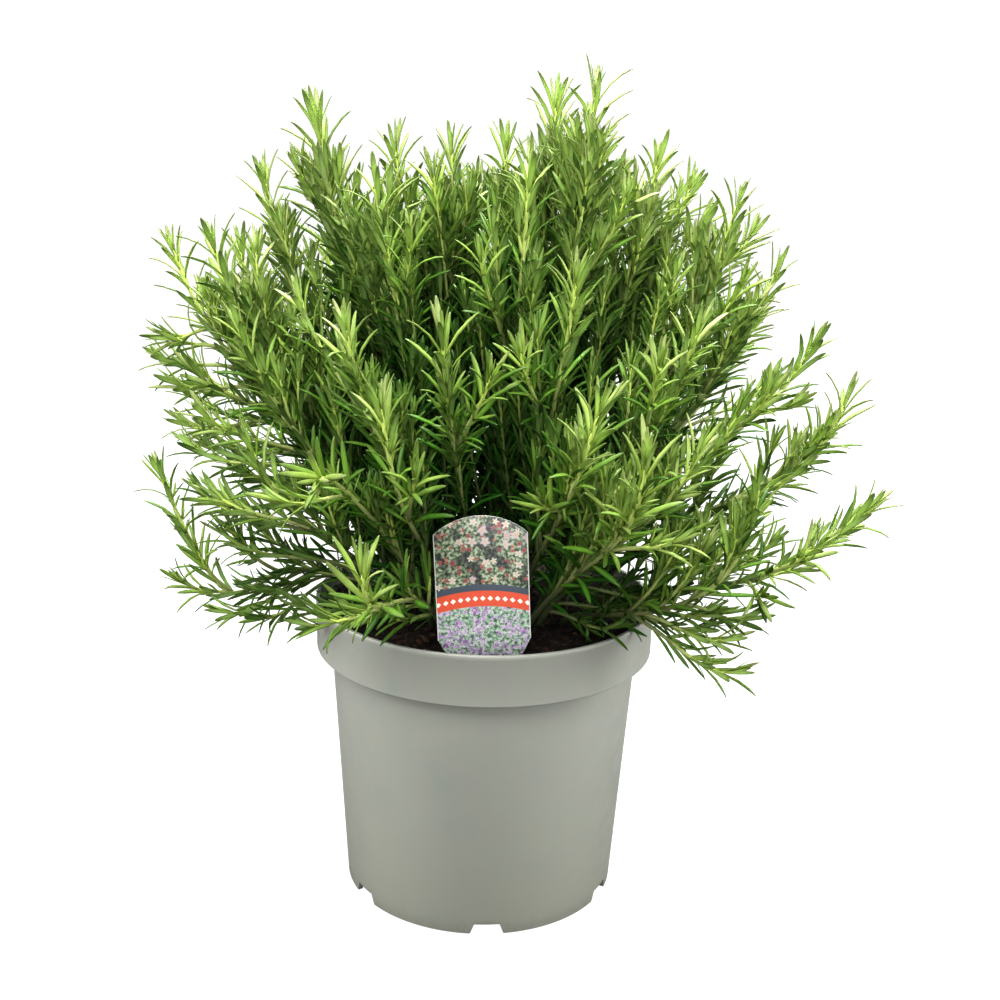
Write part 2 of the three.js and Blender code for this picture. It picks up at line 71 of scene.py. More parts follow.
# Each stem: its tip, then the two bends of one that arches, then its twigs as (share, x, y, z).
STEMS = [
    ((-189, 30, 242), [(-150, 14, 220), (-132, 26, 82)], [(0.62, -162, 0, 205)]),
    ((-174, 20, 370), None, [(0.5, -158, -14, 312)]),
    ((-144, -20, 377), None, [(0.62, -136, 12, 372)]),
    ((-123, 15, 409), None, [(0.6, -116, 42, 375)]),
    ((-95, 25, 436), None, [(0.6, -78, 6, 398)]),
    ((-55, 40, 426), None, []),
    ((-61, -15, 410), None, [(0.55, -42, -50, 388)]),
    ((-24, 35, 426), None, [(0.6, -32, -4, 415)]),
    ((6, 60, 427), None, []),
    ((17, -35, 415), None, [(0.55, -6, -62, 378)]),
    ((32, 35, 451), None, []),
    ((51, 0, 457), None, [(0.55, 66, -34, 408)]),
    ((86, 15, 423), None, [(0.6, 108, 44, 409)]),
    ((129, 10, 403), None, [(0.5, 127, -30, 365)]),
    ((154, 20, 366), None, [(0.6, 148, 52, 340)]),
    ((173, 0, 329), [(62, 0, 258), (135, 0, 235)], [(0.6, 144, -42, 313)]),
    ((187, -25, 304), [(76, -14, 226), (178, -24, 236)], [(0.62, 180, 8, 272)]),
    ((192, -70, 259), [(100, -42, 202), (142, -66, 184)], [(0.6, 164, -90, 246)]),
    ((131, -95, 277), [(44, -60, 192), (131, -92, 168)], [(0.4, 126, -88, 176)]),
    ((50, -128, 318), [(40, -72, 250), (34, -120, 240)], [(0.55, 26, -128, 274)]),
    ((70, -148, 300), [(46, -82, 226), (70, -138, 232)], [(0.55, 88, -138, 262)]),
    ((40, -75, 370), None, [(0.55, 14, -92, 338)]),
    ((-51, -105, 312), [(-40, -66, 240), (-42, -104, 236)], [(0.5, -34, -118, 284)]),
    ((-77, -132, 283), [(-46, -72, 232), (-80, -94, 268)], [(0.6, -98, -112, 268)]),
    ((-56, -148, 246), [(-36, -80, 222), (-56, -140, 186)], [(0.55, -74, -132, 216)]),
    ((-125, -55, 340), None, [(0.55, -140, -74, 300)]),
    ((-69, -90, 347), None, [(0.6, -94, -64, 356)]),
    ((-23, -100, 346), None, [(0.6, 0, -112, 330)]),
    ((101, -70, 348), None, [(0.6, 79, -98, 336)]),
    ((99, -110, 297), None, [(0.5, 120, -92, 312)]),
    ((-117, -80, 285), None, [(0.55, -138, -62, 256)]),
    ((-150, 75, 332), None, [(0.55, -166, 52, 296)]),
    ((-100, 108, 362), None, []),
    ((-40, 118, 384), None, []),
    ((28, 122, 384), None, []),
    ((92, 102, 372), None, [(0.55, 100, 128, 332)]),
    ((152, 68, 334), None, [(0.55, 168, 86, 294)]),
    ((-82, 144, 276), None, [(0.55, -108, 132, 256)]),
    ((22, 149, 284), None, [(0.55, -6, 146, 266)]),
    ((112, 130, 270), None, [(0.55, 136, 114, 252)]),
]

# Young shoots that only the foliage has: for a stem's number, as its twigs are given.
YOUNG = {
    1: [(0.12, -118, -4, 184), (0.2, -134, 12, 178), (0.1, -124, -16, 172), (0.16, -146, 2, 168),
        (0.3, -140, -10, 222), (0.6, -172, 6, 184)],
    2: [(0.78, -174, 8, 324), (0.72, -172, 8, 324), (0.66, -180, 14, 312), (0.6, -170, 2, 300),
        (0.5, -166, 0, 278), (0.4, -150, -4, 266), (0.32, -132, 0, 250)],
    3: [(0.7, -124, -10, 374)],
    5: [(0.75, -104, 16, 414)],
    8: [(0.7, -14, 20, 404)],
    9: [(0.75, -10, 50, 408)],
    12: [(0.7, 64, 6, 414), (0.62, 76, 10, 396), (0.6, 54, -16, 430)],
    13: [(0.72, 98, 24, 402), (0.8, 74, 6, 412), (0.6, 112, 20, 392)],
    14: [(0.75, 112, 12, 380), (0.8, 138, 14, 386)],
    15: [(0.7, 142, 14, 350)],
    16: [(0.8, 162, -12, 300)],
    17: [(0.7, 176, -34, 292), (0.5, 164, -30, 268), (0.4, 156, -20, 258), (0.3, 144, -12, 244)],
    18: [(0.6, 140, -80, 214), (0.75, 166, -60, 236), (0.8, 184, -58, 246), (0.6, 162, -52, 222),
         (0.4, 150, -44, 232)],
    19: [(0.5, 112, -80, 204), (0.6, 134, -74, 200), (0.4, 112, -72, 194), (0.45, 122, -84, 192)],
    25: [(0.2, -66, -108, 214), (0.12, -46, -94, 204)],
    26: [(0.5, -158, -20, 270), (0.4, -142, -30, 244)],
    29: [(0.1, 74, -42, 200)],
    30: [(0.12, 80, -54, 198), (0.22, 94, -64, 208), (0.08, 66, -70, 192)],
    31: [(0.5, -150, -38, 250), (0.3, -140, -30, 224), (0.25, -120, -24, 224), (0.2, -102, -32, 212),
         (0.1, -100, -34, 186), (0.12, -94, -46, 180)],
    32: [(0.4, -160, 34, 266), (0.5, -172, 44, 286), (0.3, -142, 30, 246)],
    35: [(0.7, 48, 112, 356), (0.5, 50, 100, 322)],
    36: [(0.7, 70, 96, 352), (0.5, 64, 84, 320), (0.6, 86, 88, 336)],
    37: [(0.6, 120, 68, 318)],
}
# How large the leaves of a stem are, where they aren't of the usual size.
VIGOUR = {5: 1.35, 11: 1.15, 12: 1.12, 19: 1.05, 20: 1.12, 21: 1.12, 22: 1.08, 23: 1.1, 24: 1.12, 25: 1.15, 28: 1.08}
# How often a leaf's axil carries a side shoot, where that isn't the usual SIDE_SHOOTS.
SIDE_SHOOTS = 0.65
BRANCHED = {1: 0.0, 4: 0.45, 15: 0.45, 16: 0.12, 17: 0.3, 18: 0.4, 19: 0.4, 22: 0.3, 23: 0.2, 28: 0.2,
            33: 0.75, 34: 0.75, 35: 0.75, 36: 0.75, 37: 0.65, 38: 0.65, 39: 0.75, 40: 0.65}

# ---------------------------------------------------------------- camera and light

scene = bpy.context.scene
scene.view_settings.view_transform = "Standard"
scene.view_settings.gamma = 0.85  # the contrast of a print

# Fitted to the outline of the pot.
CAMERA_AT = np.array([0, -760.5, 440.7])
SENSOR, LENS, SHIFT = 36, 51.24, 0.0127  # millimetres, millimetres, share of the picture's width
LOOKS_DOWN, OFF_LEVEL = 0.27664, 0.0242  # radians: 16 degrees down, and the horizon 1.4 degrees off level
camera = bpy.data.objects.new("camera", bpy.data.cameras.new("camera"))
scene.collection.objects.link(camera)
camera.data.sensor_width, camera.data.lens, camera.data.shift_x = SENSOR, LENS, SHIFT
camera.matrix_world = (Matrix.Translation(Vector(CAMERA_AT) * MM)
                       @ Matrix.Rotation(math.pi / 2 - LOOKS_DOWN, 4, "X") @ Matrix.Rotation(OFF_LEVEL, 4, "Z"))
scene.camera = camera

# Square studio softboxes: name, place and side in metres, watts. All of them face the middle of the plant.
AIM = Vector((0, 0, 0.25))
SOFTBOXES = [
    ("key_softbox", (-0.45, -1.3, 1.7), 0.9, 44),
    ("front_softbox", (0.3, -1.7, 0.6), 1.2, 21),
    ("top_softbox", (0.0, 0.1, 2.1), 1.2, 98),
    ("back_softbox", (0.25, 0.95, 1.7), 1.0, 92),
    ("left_softbox", (-1.6, 0.0, 0.6), 1.0, 36),
    ("right_softbox", (1.6, 0.0, 0.6), 1.0, 40),
]
for name, at, side, power in SOFTBOXES:
    lamp = bpy.data.lights.new(name, "AREA")
    lamp.size, lamp.energy = side, power
    box = bpy.data.objects.new(name, lamp)
    scene.collection.objects.link(box)
    box.location = at
    box.rotation_euler = (AIM - Vector(at)).to_track_quat("-Z", "Y").to_euler()

# ---------------------------------------------------------------- helpers for materials


def linear(colour):
    """A linear RGBA colour from an sRGB hex value."""
    channels = [int(colour[i:i + 2], 16) / 255 for i in (1, 3, 5)]
    return (*(c / 12.92 if c <= 0.04045 else ((c + 0.055) / 1.055) ** 2.4 for c in channels), 1)


def add(tree, kind, links=None, stops=None, take=None, **settings):
    """Adds a shader node and gives its output: the one that take names, or else the first in use. links
    gives its sockets a value, a hex colour, or another node's output. Where a Mix node mixes colours,
    its socket 0 is how much of colour 7 lies over colour 6."""
    node = tree.nodes.new("ShaderNode" + kind)
    for name, value in settings.items():
        setattr(node, name, value)
    for socket, value in (links or {}).items():
        if isinstance(value, bpy.types.NodeSocket):
            tree.links.new(value, node.inputs[socket])
        else:
            node.inputs[socket].default_value = linear(value) if isinstance(value, str) else value
    if stops:
        ramp = node.color_ramp.elements
        ramp.remove(ramp[1])
        ramp[0].position, ramp[0].color = stops[0][0], linear(stops[0][1])
        for place, colour in stops[1:]:
            ramp.new(place).color = linear(colour)
    return node.outputs[take] if take else next(output for output in node.outputs if output.enabled)


def material(name, **values):
    """A new material and its node tree. values are for its Principled shader, with _ for a space."""
    made = bpy.data.materials.new(name)
    made.use_nodes = True
    for socket, value in values.items():
        principled(made).inputs[socket.replace("_", " ")].default_value = value
    return made, made.node_tree


def principled(made):
    return made.node_tree.nodes["Principled BSDF"]


def finish(made, **outputs):
    """Links outputs to a material's Principled shader, with _ for a space in a socket's name."""
    for socket, output in outputs.items():
        made.node_tree.links.new(output, principled(made).inputs[socket.replace("_", " ")])
    return made


# ---------------------------------------------------------------- materials


def make_pot_plastic():
    """Injection-moulded polypropylene, satin: faint clouds in the colour, painted shade that darkens it towards the
    bottom, and specks of soil at the foot.
    """
    made, tree = material("moulded_polypropylene", IOR=1.49)
    where = add(tree, "TexCoord", take="Object")
    clouds = add(tree, "TexNoise", {"Vector": where, "Scale": 1 / (30 * MM), "Detail": 4})
    colour = add(tree, "ValToRGB", {"Fac": clouds}, [(0.3, "#8b9089"), (0.45, "#91928b"), (0.6, "#90938a"),
                                                     (0.72, "#95948c")])
    upright = add(tree, "Mapping", {"Vector": where, "Scale": (1, 1, 0.12)})
    streaks = add(tree, "TexNoise", {"Vector": upright, "Scale": 1 / (3.5 * MM), "Detail": 2})
    streaks = add(tree, "MapRange", {"Value": streaks, "From Min": 0.35, "From Max": 0.7, "To Max": 0.06})
    colour = add(tree, "Mix", {0: streaks, 6: colour, 7: "#82857d"}, data_type="RGBA")
    height = add(tree, "SeparateXYZ", {"Vector": where}, take="Z")
    # painted shade: the colour darkens towards the bottom, where the pot stands in shade
    painted_low_shade = add(tree, "MapRange", {"Value": height, "From Max": 120 * MM, "To Min": 0.6, "To Max": 0.0})
    colour = add(tree, "Mix", {0: painted_low_shade, 6: colour, 7: "#76776c"}, data_type="RGBA")
    low = add(tree, "MapRange", {"Value": height, "From Max": 16 * MM, "To Min": 0.14, "To Max": 0.0})
    specks = add(tree, "TexNoise", {"Vector": where, "Scale": 1 / (4 * MM), "Detail": 6})
    specks = add(tree, "MapRange", {"Value": specks, "From Min": 0.5, "From Max": 0.72})
    dirt = add(tree, "Math", {0: low, 1: specks}, operation="MULTIPLY")
    colour = add(tree, "Mix", {0: dirt, 6: colour, 7: "#5d5446"}, data_type="RGBA")
    gloss = add(tree, "TexNoise", {"Vector": where, "Scale": 1 / (12 * MM), "Detail": 5})
    gloss = add(tree, "MapRange", {"Value": gloss, "From Min": 0.3, "From Max": 0.7, "To Min": 0.36, "To Max": 0.5})
    grain = add(tree, "TexNoise", {"Vector": where, "Scale": 1 / (1.1 * MM), "Detail": 2})
    relief = add(tree, "Bump", {"Height": grain, "Strength": 0.12, "Distance": 0.12 * MM})
    return finish(made, Base_Color=colour, Roughness=gloss, Normal=relief)


def make_compost():
    """Moist peat compost: near black, with brown fibres and crumbs that catch the light."""
    made, tree = material("peat_compost", Roughness=0.95, Specular_IOR_Level=0.2)
    where = add(tree, "TexCoord", take="Object")
    crumbs = add(tree, "TexVoronoi", {"Vector": where, "Scale": 1 / (2.6 * MM)}, take="Color")
    crumbs = add(tree, "SeparateColor", {"Color": crumbs}, take="Red")
    colour = add(tree, "ValToRGB", {"Fac": crumbs}, [(0.0, "#0d0906"), (0.55, "#191109"), (0.85, "#2b1d13"),
                                                     (1.0, "#4a3222")])
    damp = add(tree, "TexNoise", {"Vector": where, "Scale": 1 / (9 * MM), "Detail": 5})
    damp = add(tree, "MapRange", {"Value": damp, "From Min": 0.35, "From Max": 0.65})
    colour = add(tree, "Mix", {0: damp, 6: colour, 7: "#0f0a06"}, data_type="RGBA")
    grain = add(tree, "TexNoise", {"Vector": where, "Scale": 1 / (1.2 * MM), "Detail": 6})
    relief = add(tree, "Bump", {"Height": grain, "Strength": 0.8, "Distance": 0.9 * MM})
    return finish(made, Base_Color=colour, Normal=relief)


def make_bark():
    """Chips of composted bark and fibre, each with its own brown."""
    made, tree = material("composted_bark", Roughness=0.9, Specular_IOR_Level=0.3)
    where = add(tree, "TexCoord", take="Object")
    tone = add(tree, "Attribute", take="Fac", attribute_name="tone")
    colour = add(tree, "ValToRGB", {"Fac": tone}, [(0.0, "#120c08"), (0.5, "#2a1c12"), (0.85, "#4c3525"),
                                                   (1.0, "#7d6347")])
    grain = add(tree, "TexNoise", {"Vector": where, "Scale": 1 / (0.9 * MM), "Detail": 5})
    colour = add(tree, "Mix", {0: grain, 6: colour, 7: "#1a110b"}, data_type="RGBA")
    relief = add(tree, "Bump", {"Height": grain, "Strength": 0.7, "Distance": 0.5 * MM})
    return finish(made, Base_Color=colour, Normal=relief)


def make_leaf():
    """Rosemary leaf: leathery and green above, darker at its margins and tip, felted grey-green below."""
    made, tree = material("rosemary_leaf", Specular_IOR_Level=0.33, Specular_Tint=linear("#ecf5dc"))
    # tone is each leaf's own tone with painted light and shade in it: low deep in the crown, higher high up
    tone, youth, under = (add(tree, "Attribute", take="Fac", attribute_name=name)
                          for name in ("tone", "youth", "under"))
    place = add(tree, "UVMap", uv_map="UVMap")
    across, along = (add(tree, "SeparateXYZ", {"Vector": place}, take=axis) for axis in "XY")
    off_middle = add(tree, "Math", {0: across, 1: 0.5}, operation="SUBTRACT")
    off_middle = add(tree, "Math", {0: off_middle}, operation="ABSOLUTE")
    where = add(tree, "TexCoord", take="Object")

    # the upper side
    old = add(tree, "ValToRGB", {"Fac": tone}, [(0.0, "#0c5800"), (0.35, "#48960a"), (0.7, "#80b22e"),
                                                (1.0, "#aac25c")])
    new = add(tree, "ValToRGB", {"Fac": tone}, [(0.0, "#7f9e38"), (0.5, "#acba68"), (1.0, "#d2d6a0")])
    upper = add(tree, "Mix", {0: youth, 6: old, 7: new}, data_type="RGBA")
    rib = add(tree, "MapRange", {"Value": off_middle, "From Min": 0.02, "From Max": 0.1, "To Min": 0.4, "To Max": 0.0})
    upper = add(tree, "Mix", {0: rib, 6: upper, 7: "#a9c47c"}, data_type="RGBA")
    margin = add(tree, "MapRange", {"Value": off_middle, "From Min": 0.3, "From Max": 0.48, "To Max": 0.4})
    upper = add(tree, "Mix", {0: margin, 6: upper, 7: "#175303"}, data_type="RGBA")
    mottle = add(tree, "TexNoise", {"Vector": where, "Scale": 1 / (3 * MM)})
    mottle = add(tree, "MapRange", {"Value": mottle, "From Min": 0.35, "From Max": 0.65, "To Max": 0.18})
    upper = add(tree, "Mix", {0: mottle, 6: upper, 7: "#144e01"}, data_type="RGBA")

    # the felt below, on both sides of a stout rib
    felt = add(tree, "ValToRGB", {"Fac": tone}, [(0.0, "#225b0b"), (0.4, "#7c9c5c"), (1.0, "#bfd0a6")])
    felt = add(tree, "Mix", {0: youth, 6: felt, 7: "#a8c66c"}, data_type="RGBA")
    rib = add(tree, "MapRange", {"Value": off_middle, "From Min": 0.04, "From Max": 0.16, "To Min": 0.4,
                                 "To Max": 0.0})
    felt = add(tree, "Mix", {0: rib, 6: felt, 7: "#bccf98"}, data_type="RGBA")

    # both sides: a pale foot, most of all on a young leaf, and a dark end
    below = add(tree, "MapRange", {"Value": under, "From Min": 0.55, "From Max": 0.8})
    colour = add(tree, "Mix", {0: below, 6: upper, 7: felt}, data_type="RGBA")
    foot = add(tree, "MapRange", {"Value": along, "From Min": 0.05, "From Max": 0.5, "To Min": 0.75, "To Max": 0.0})
    tender = add(tree, "MapRange", {"Value": youth, "To Min": 0.4})
    foot = add(tree, "Math", {0: foot, 1: tender}, operation="MULTIPLY")
    colour = add(tree, "Mix", {0: foot, 6: colour, 7: "#b8cc66"}, data_type="RGBA")
    end = add(tree, "MapRange", {"Value": along, "From Min": 0.6, "From Max": 1.0, "To Max": 0.8})
    colour = add(tree, "Mix", {0: end, 6: colour, 7: "#384a16"}, data_type="RGBA")
    # painted shade: leaves deep in the crown, of low tone, are dark all over
    painted_shade = add(tree, "MapRange", {"Value": tone, "From Max": 0.3, "To Min": 0.7, "To Max": 0.0})
    colour = add(tree, "Mix", {0: painted_shade, 6: colour, 7: "#0a4600"}, data_type="RGBA")
    rough = add(tree, "MapRange", {"Value": below, "To Min": 0.38, "To Max": 0.8})
    grain = add(tree, "TexNoise", {"Vector": where, "Scale": 1 / (0.5 * MM), "Detail": 2})
    relief = add(tree, "Bump", {"Height": grain, "Strength": 0.15, "Distance": 0.1 * MM})

    # light that comes through, more in a young leaf and less at its end
    pale = add(tree, "MapRange", {"Value": tone, "From Max": 0.4, "To Min": 0.1, "To Max": 0.5})
    through = add(tree, "Mix", {0: pale, 6: colour, 7: "#b2c658"}, data_type="RGBA")
    glow = add(tree, "BsdfTranslucent", {"Color": through})
    clear = add(tree, "MapRange", {"Value": youth, "To Min": 0.22, "To Max": 0.42})
    opaque = add(tree, "MapRange", {"Value": end, "From Max": 0.8, "To Min": 1.0, "To Max": 0.3})
    clear = add(tree, "Math", {0: clear, 1: opaque}, operation="MULTIPLY")
    thin = add(tree, "MixShader", {0: clear, 1: principled(made).outputs["BSDF"], 2: glow})
    tree.links.new(thin, tree.nodes["Material Output"].inputs["Surface"])
    return finish(made, Base_Color=colour, Roughness=rough, Normal=relief)


def make_stem():
    """Rosemary stem: pale green and downy when young, then olive, and dark brown bark at the foot."""
    made, tree = material("rosemary_stem", Roughness=0.62)
    youth, tone = (add(tree, "Attribute", take="Fac", attribute_name=name) for name in ("youth", "tone"))
    where = add(tree, "TexCoord", take="Object")
    colour = add(tree, "ValToRGB", {"Fac": youth}, [(0.0, "#352b1e"), (0.16, "#585539"), (0.32, "#8f965c"),
                                                    (0.6, "#b0bd74"), (1.0, "#bace66")])
    # painted shade: a stem deep in the crown, of low tone, is dark
    painted_shade = add(tree, "MapRange", {"Value": tone, "From Max": 0.3, "To Min": 0.75, "To Max": 0.0})
    colour = add(tree, "Mix", {0: painted_shade, 6: colour, 7: "#153306"}, data_type="RGBA")
    upright = add(tree, "Mapping", {"Vector": where, "Scale": (1, 1, 0.18)})
    fibres = add(tree, "TexNoise", {"Vector": upright, "Scale": 1 / (0.6 * MM), "Detail": 4})
    dark = add(tree, "MapRange", {"Value": fibres, "From Min": 0.35, "From Max": 0.7, "To Min": 0.35, "To Max": 0.0})
    colour = add(tree, "Mix", {0: dark, 6: colour, 7: "#4b4c2a"}, data_type="RGBA")
    relief = add(tree, "Bump", {"Height": fibres, "Strength": 0.5, "Distance": 0.3 * MM})
    return finish(made, Base_Color=colour, Normal=relief)


def make_label_white():
    """White polypropylene sheet, die cut: smooth, a little glossy, with a few specks of compost low down."""
    made, tree = material("white_polypropylene", Roughness=0.35, IOR=1.49)
    where = add(tree, "TexCoord", take="Object")
    haze = add(tree, "TexNoise", {"Vector": where, "Scale": 1 / (16 * MM)})
    colour = add(tree, "Mix", {0: haze, 6: "#e9ebe8", 7: "#dfe1dc"}, data_type="RGBA")
    height = add(tree, "SeparateXYZ", {"Vector": where}, take="Z")
    low = add(tree, "MapRange", {"Value": height, "From Min": SOIL["edge"] * MM, "From Max": 176 * MM,
                                 "To Min": 0.6, "To Max": 0.0})
    specks = add(tree, "TexNoise", {"Vector": where, "Scale": 1 / (1.6 * MM), "Detail": 4})
    specks = add(tree, "MapRange", {"Value": specks, "From Min": 0.55, "From Max": 0.68})
    soiled = add(tree, "Math", {0: low, 1: specks}, operation="MULTIPLY")
    colour = add(tree, "Mix", {0: soiled, 6: colour, 7: "#4a3b2c"}, data_type="RGBA")
    waves = add(tree, "TexNoise", {"Vector": where, "Scale": 1 / (5 * MM)})
    relief = add(tree, "Bump", {"Height": waves, "Strength": 0.1, "Distance": 0.2 * MM})
    return finish(made, Base_Color=colour, Normal=relief)


def make_label_print():
    """Offset print under clear gloss: pale blossoms in a dim garden, two arched bands, lilac florets below."""
    made, tree = material("printed_polypropylene", Roughness=0.3, IOR=1.49)
    place = add(tree, "UVMap", uv_map="UVMap")  # millimetres, from the compost's edge up
    x, y = (add(tree, "SeparateXYZ", {"Vector": place}, take=axis) for axis in "XY")
    fine, broad = (add(tree, "TexNoise", {"Vector": place, "Scale": 1 / size, "Detail": detail},
                       noise_dimensions="2D") for size, detail in ((1.7, 4.0), (10, 2.0)))

    def strewn(ground, size, petals, share, light, dark, heart):
        """The ground with flowers in cells of a size in millimetres, in a share of the cells."""
        cells = add(tree, "TexVoronoi", {"Vector": place, "Scale": 1 / size}, voronoi_dimensions="2D").node.outputs
        number = add(tree, "SeparateColor", {"Color": cells["Color"]}).node.outputs
        way = add(tree, "VectorMath", {0: place, 1: cells["Position"]}, operation="SUBTRACT")
        way = add(tree, "SeparateXYZ", {"Vector": way}).node.outputs
        angle = add(tree, "Math", {0: way["Y"], 1: way["X"]}, operation="ARCTAN2")
        turn = add(tree, "Math", {0: number["Green"], 1: 2 * math.pi}, operation="MULTIPLY")
        angle = add(tree, "Math", {0: angle, 1: petals, 2: turn}, operation="MULTIPLY_ADD")
        wave = add(tree, "Math", {0: angle}, operation="COSINE")
        reach = add(tree, "MapRange", {"Value": number["Blue"], "To Min": 0.2, "To Max": 0.42})
        edge = add(tree, "Math", {0: wave, 1: 0.09, 2: reach}, operation="MULTIPLY_ADD")
        over = add(tree, "Math", {0: cells["Distance"], 1: edge}, operation="SUBTRACT")
        flower = add(tree, "MapRange", {"Value": over, "From Min": -0.08, "From Max": 0.08, "To Min": 1.0,
                                        "To Max": 0.0})
        here = add(tree, "Math", {0: number["Red"], 1: share}, operation="LESS_THAN")
        mask = add(tree, "Math", {0: flower, 1: here}, operation="MULTIPLY")
        petal = add(tree, "Mix", {0: number["Blue"], 6: light, 7: dark}, data_type="RGBA")
        middle = add(tree, "MapRange", {"Value": cells["Distance"], "From Max": 0.26, "To Min": 0.8, "To Max": 0.0})
        petal = add(tree, "Mix", {0: middle, 6: petal, 7: heart}, data_type="RGBA")
        return add(tree, "Mix", {0: mask, 6: ground, 7: petal}, data_type="RGBA")

    garden = add(tree, "ValToRGB", {"Fac": fine}, [(0.32, "#2c3328"), (0.45, "#5b6b52"), (0.55, "#87957c"),
                                                   (0.66, "#b3b8a4"), (0.8, "#6d705f")])
    hollow = add(tree, "MapRange", {"Value": broad, "From Min": 0.48, "From Max": 0.62, "To Max": 0.8})
    garden = add(tree, "Mix", {0: hollow, 6: garden, 7: "#26242c"}, data_type="RGBA")
    garden = strewn(garden, 3.1, 4, 0.3, "#c77a66", "#8d4d56", "#5f2d34")
    garden = strewn(garden, 5.8, 5, 0.42, "#d6d0cb", "#ab9ca5", "#b59a5c")
    florets = add(tree, "ValToRGB", {"Fac": fine}, [(0.32, "#43554a"), (0.45, "#6d8a73"), (0.57, "#98b09a"),
                                                    (0.7, "#c2cabd"), (0.8, "#929c8e")])
    drift = add(tree, "MapRange", {"Value": broad, "From Min": 0.38, "From Max": 0.54, "To Min": 0.3})
    florets = strewn(florets, 3.6, 5, drift, "#e8d6e8", "#8f6a9c", "#553c62")
    florets = strewn(florets, 2.1, 4, drift, "#f3eaf2", "#a585b6", "#6f4f80")

    # how high each point is in millimetres, on lines that arch up across the card
    square = add(tree, "Math", {0: x, 1: x}, operation="MULTIPLY")
    arc = add(tree, "Math", {0: square, 1: 0.006, 2: y}, operation="MULTIPLY_ADD")
    # a row of pale lozenges along the wider band
    step = add(tree, "Math", {0: x, 1: 1.9}, operation="PINGPONG")
    off_row = add(tree, "Math", {0: arc, 1: 35.0}, operation="SUBTRACT")
    off_row = add(tree, "Math", {0: off_row}, operation="ABSOLUTE")
    lozenge = add(tree, "Math", {0: step, 1: off_row}, operation="ADD")
    lozenge = add(tree, "MapRange", {"Value": lozenge, "From Min": 1.3, "From Max": 1.5, "To Min": 1.0, "To Max": 0.0})
    band = add(tree, "Mix", {0: lozenge, 6: "#cb583f", 7: "#f0e6da"}, data_type="RGBA")
    colour = garden
    for top, fill in ((42.6, "#4a535e"), (39.2, band), (30.8, florets)):
        under = add(tree, "MapRange", {"Value": arc, "From Min": top - 0.1, "From Max": top + 0.1,
                                       "To Min": 1.0, "To Max": 0.0})
        colour = add(tree, "Mix", {0: under, 6: colour, 7: fill}, data_type="RGBA")
    # the sheet's white shows where the print stops short of its sides
    edge = LABEL["width"] / 2
    margin = add(tree, "Math", {0: x}, operation="ABSOLUTE")
    margin = add(tree, "MapRange", {"Value": margin, "From Min": edge - 0.6, "From Max": edge - 0.4})
    colour = add(tree, "Mix", {0: margin, 6: colour, 7: "#c9c9c4"}, data_type="RGBA")
    return finish(made, Base_Color=colour)


# ---------------------------------------------------------------- helpers for modelling


def choose(piece):
    """Makes a piece the one that operators act on."""
    bpy.ops.object.select_all(action="DESELECT")
    piece.select_set(True)
    bpy.context.view_layer.objects.active = piece
    return piece


def primitive(kind, name, **settings):
    """A new primitive with its place in its mesh, named for the piece that it becomes."""
    bpy.ops.object.select_all(action="DESELECT")
    getattr(bpy.ops.mesh, "primitive_" + kind + "_add")(**settings)
    piece = bpy.context.object
    piece.name = piece.data.name = name
    bpy.ops.object.transform_apply(location=True, rotation=True, scale=True)
    return piece


def in_edit(piece):
    choose(piece)
    bpy.ops.object.mode_set(mode="EDIT")
    bpy.ops.mesh.select_mode(type="VERT")


def pick(piece, test):
    """Selects, in edit mode, the points for which test(place in millimetres) is true."""
    mesh = bmesh.from_edit_mesh(piece.data)
    for point in mesh.verts:
        point.select = bool(test(point.co / MM))
    mesh.select_flush_mode()
    bmesh.update_edit_mesh(piece.data)


def out_of_edit(piece):
    bpy.ops.object.mode_set(mode="OBJECT")
    return piece


def modify(piece, kind, **settings):
    """Adds a modifier and applies it."""
    choose(piece)
    modifier = piece.modifiers.new(kind.lower(), kind)
    for name, value in settings.items():
        setattr(modifier, name, value)
    bpy.ops.object.modifier_apply(modifier=modifier.name)
    return piece


def turn_round(piece, degrees):
    """Turns a piece about the pot's axis."""
    piece.rotation_euler.z = math.radians(degrees)
    choose(piece)
    bpy.ops.object.transform_apply(location=True, rotation=True, scale=True)
    return piece


def close_seams(piece, threshold):
    """Merges points nearer than a threshold in millimetres, and turns all faces outwards."""
    in_edit(piece)
    bpy.ops.mesh.select_all(action="SELECT")
    bpy.ops.mesh.remove_doubles(threshold=threshold * MM)
    bpy.ops.mesh.normals_make_consistent(inside=False)
    return out_of_edit(piece)


def mesh_of(curve, threshold):
    """A piece with the mesh that a curve gives, its seams closed."""
    piece = bpy.data.objects.new(curve.name, curve)
    scene.collection.objects.link(piece)
    choose(piece)
    bpy.ops.object.convert(target="MESH")
    return close_seams(bpy.context.object, threshold)


def join(first, *others):
    choose(first)
    for other in others:
        other.select_set(True)
    bpy.ops.object.join()
    return first


def smooth(piece, degrees=None):
    choose(piece)
    if degrees is None:
        bpy.ops.object.shade_smooth()
    else:
        bpy.ops.object.shade_smooth_by_angle(angle=math.radians(degrees))
    return piece


def wear(piece, *materials):
    piece.data.materials.clear()
    for one in materials:
        piece.data.materials.append(one)
    return piece


def stand_for(piece, node):
    """Puts a piece in the place of a node of the part."""
    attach(piece, "root")
    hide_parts(node)


def turned(name, profile, segments):
    """A body of revolution, drawn up ring by ring from a disc by a [radius, z] profile."""
    (radius, z), *rest = profile
    piece = primitive("circle", name, vertices=segments, radius=radius * MM, fill_type="NGON",
                      location=(0, 0, z * MM))
    in_edit(piece)
    bpy.ops.mesh.select_all(action="SELECT")
    for next_radius, next_z in rest:
        bpy.ops.mesh.extrude_region_move(TRANSFORM_OT_translate={"value": (0, 0, (next_z - z) * MM)})
        grown = next_radius / radius
        bpy.ops.transform.resize(value=(grown, grown, 1), center_override=(0, 0, next_z * MM))
        radius, z = next_radius, next_z
    return close_seams(out_of_edit(piece), 0.01)


# ---------------------------------------------------------------- pot

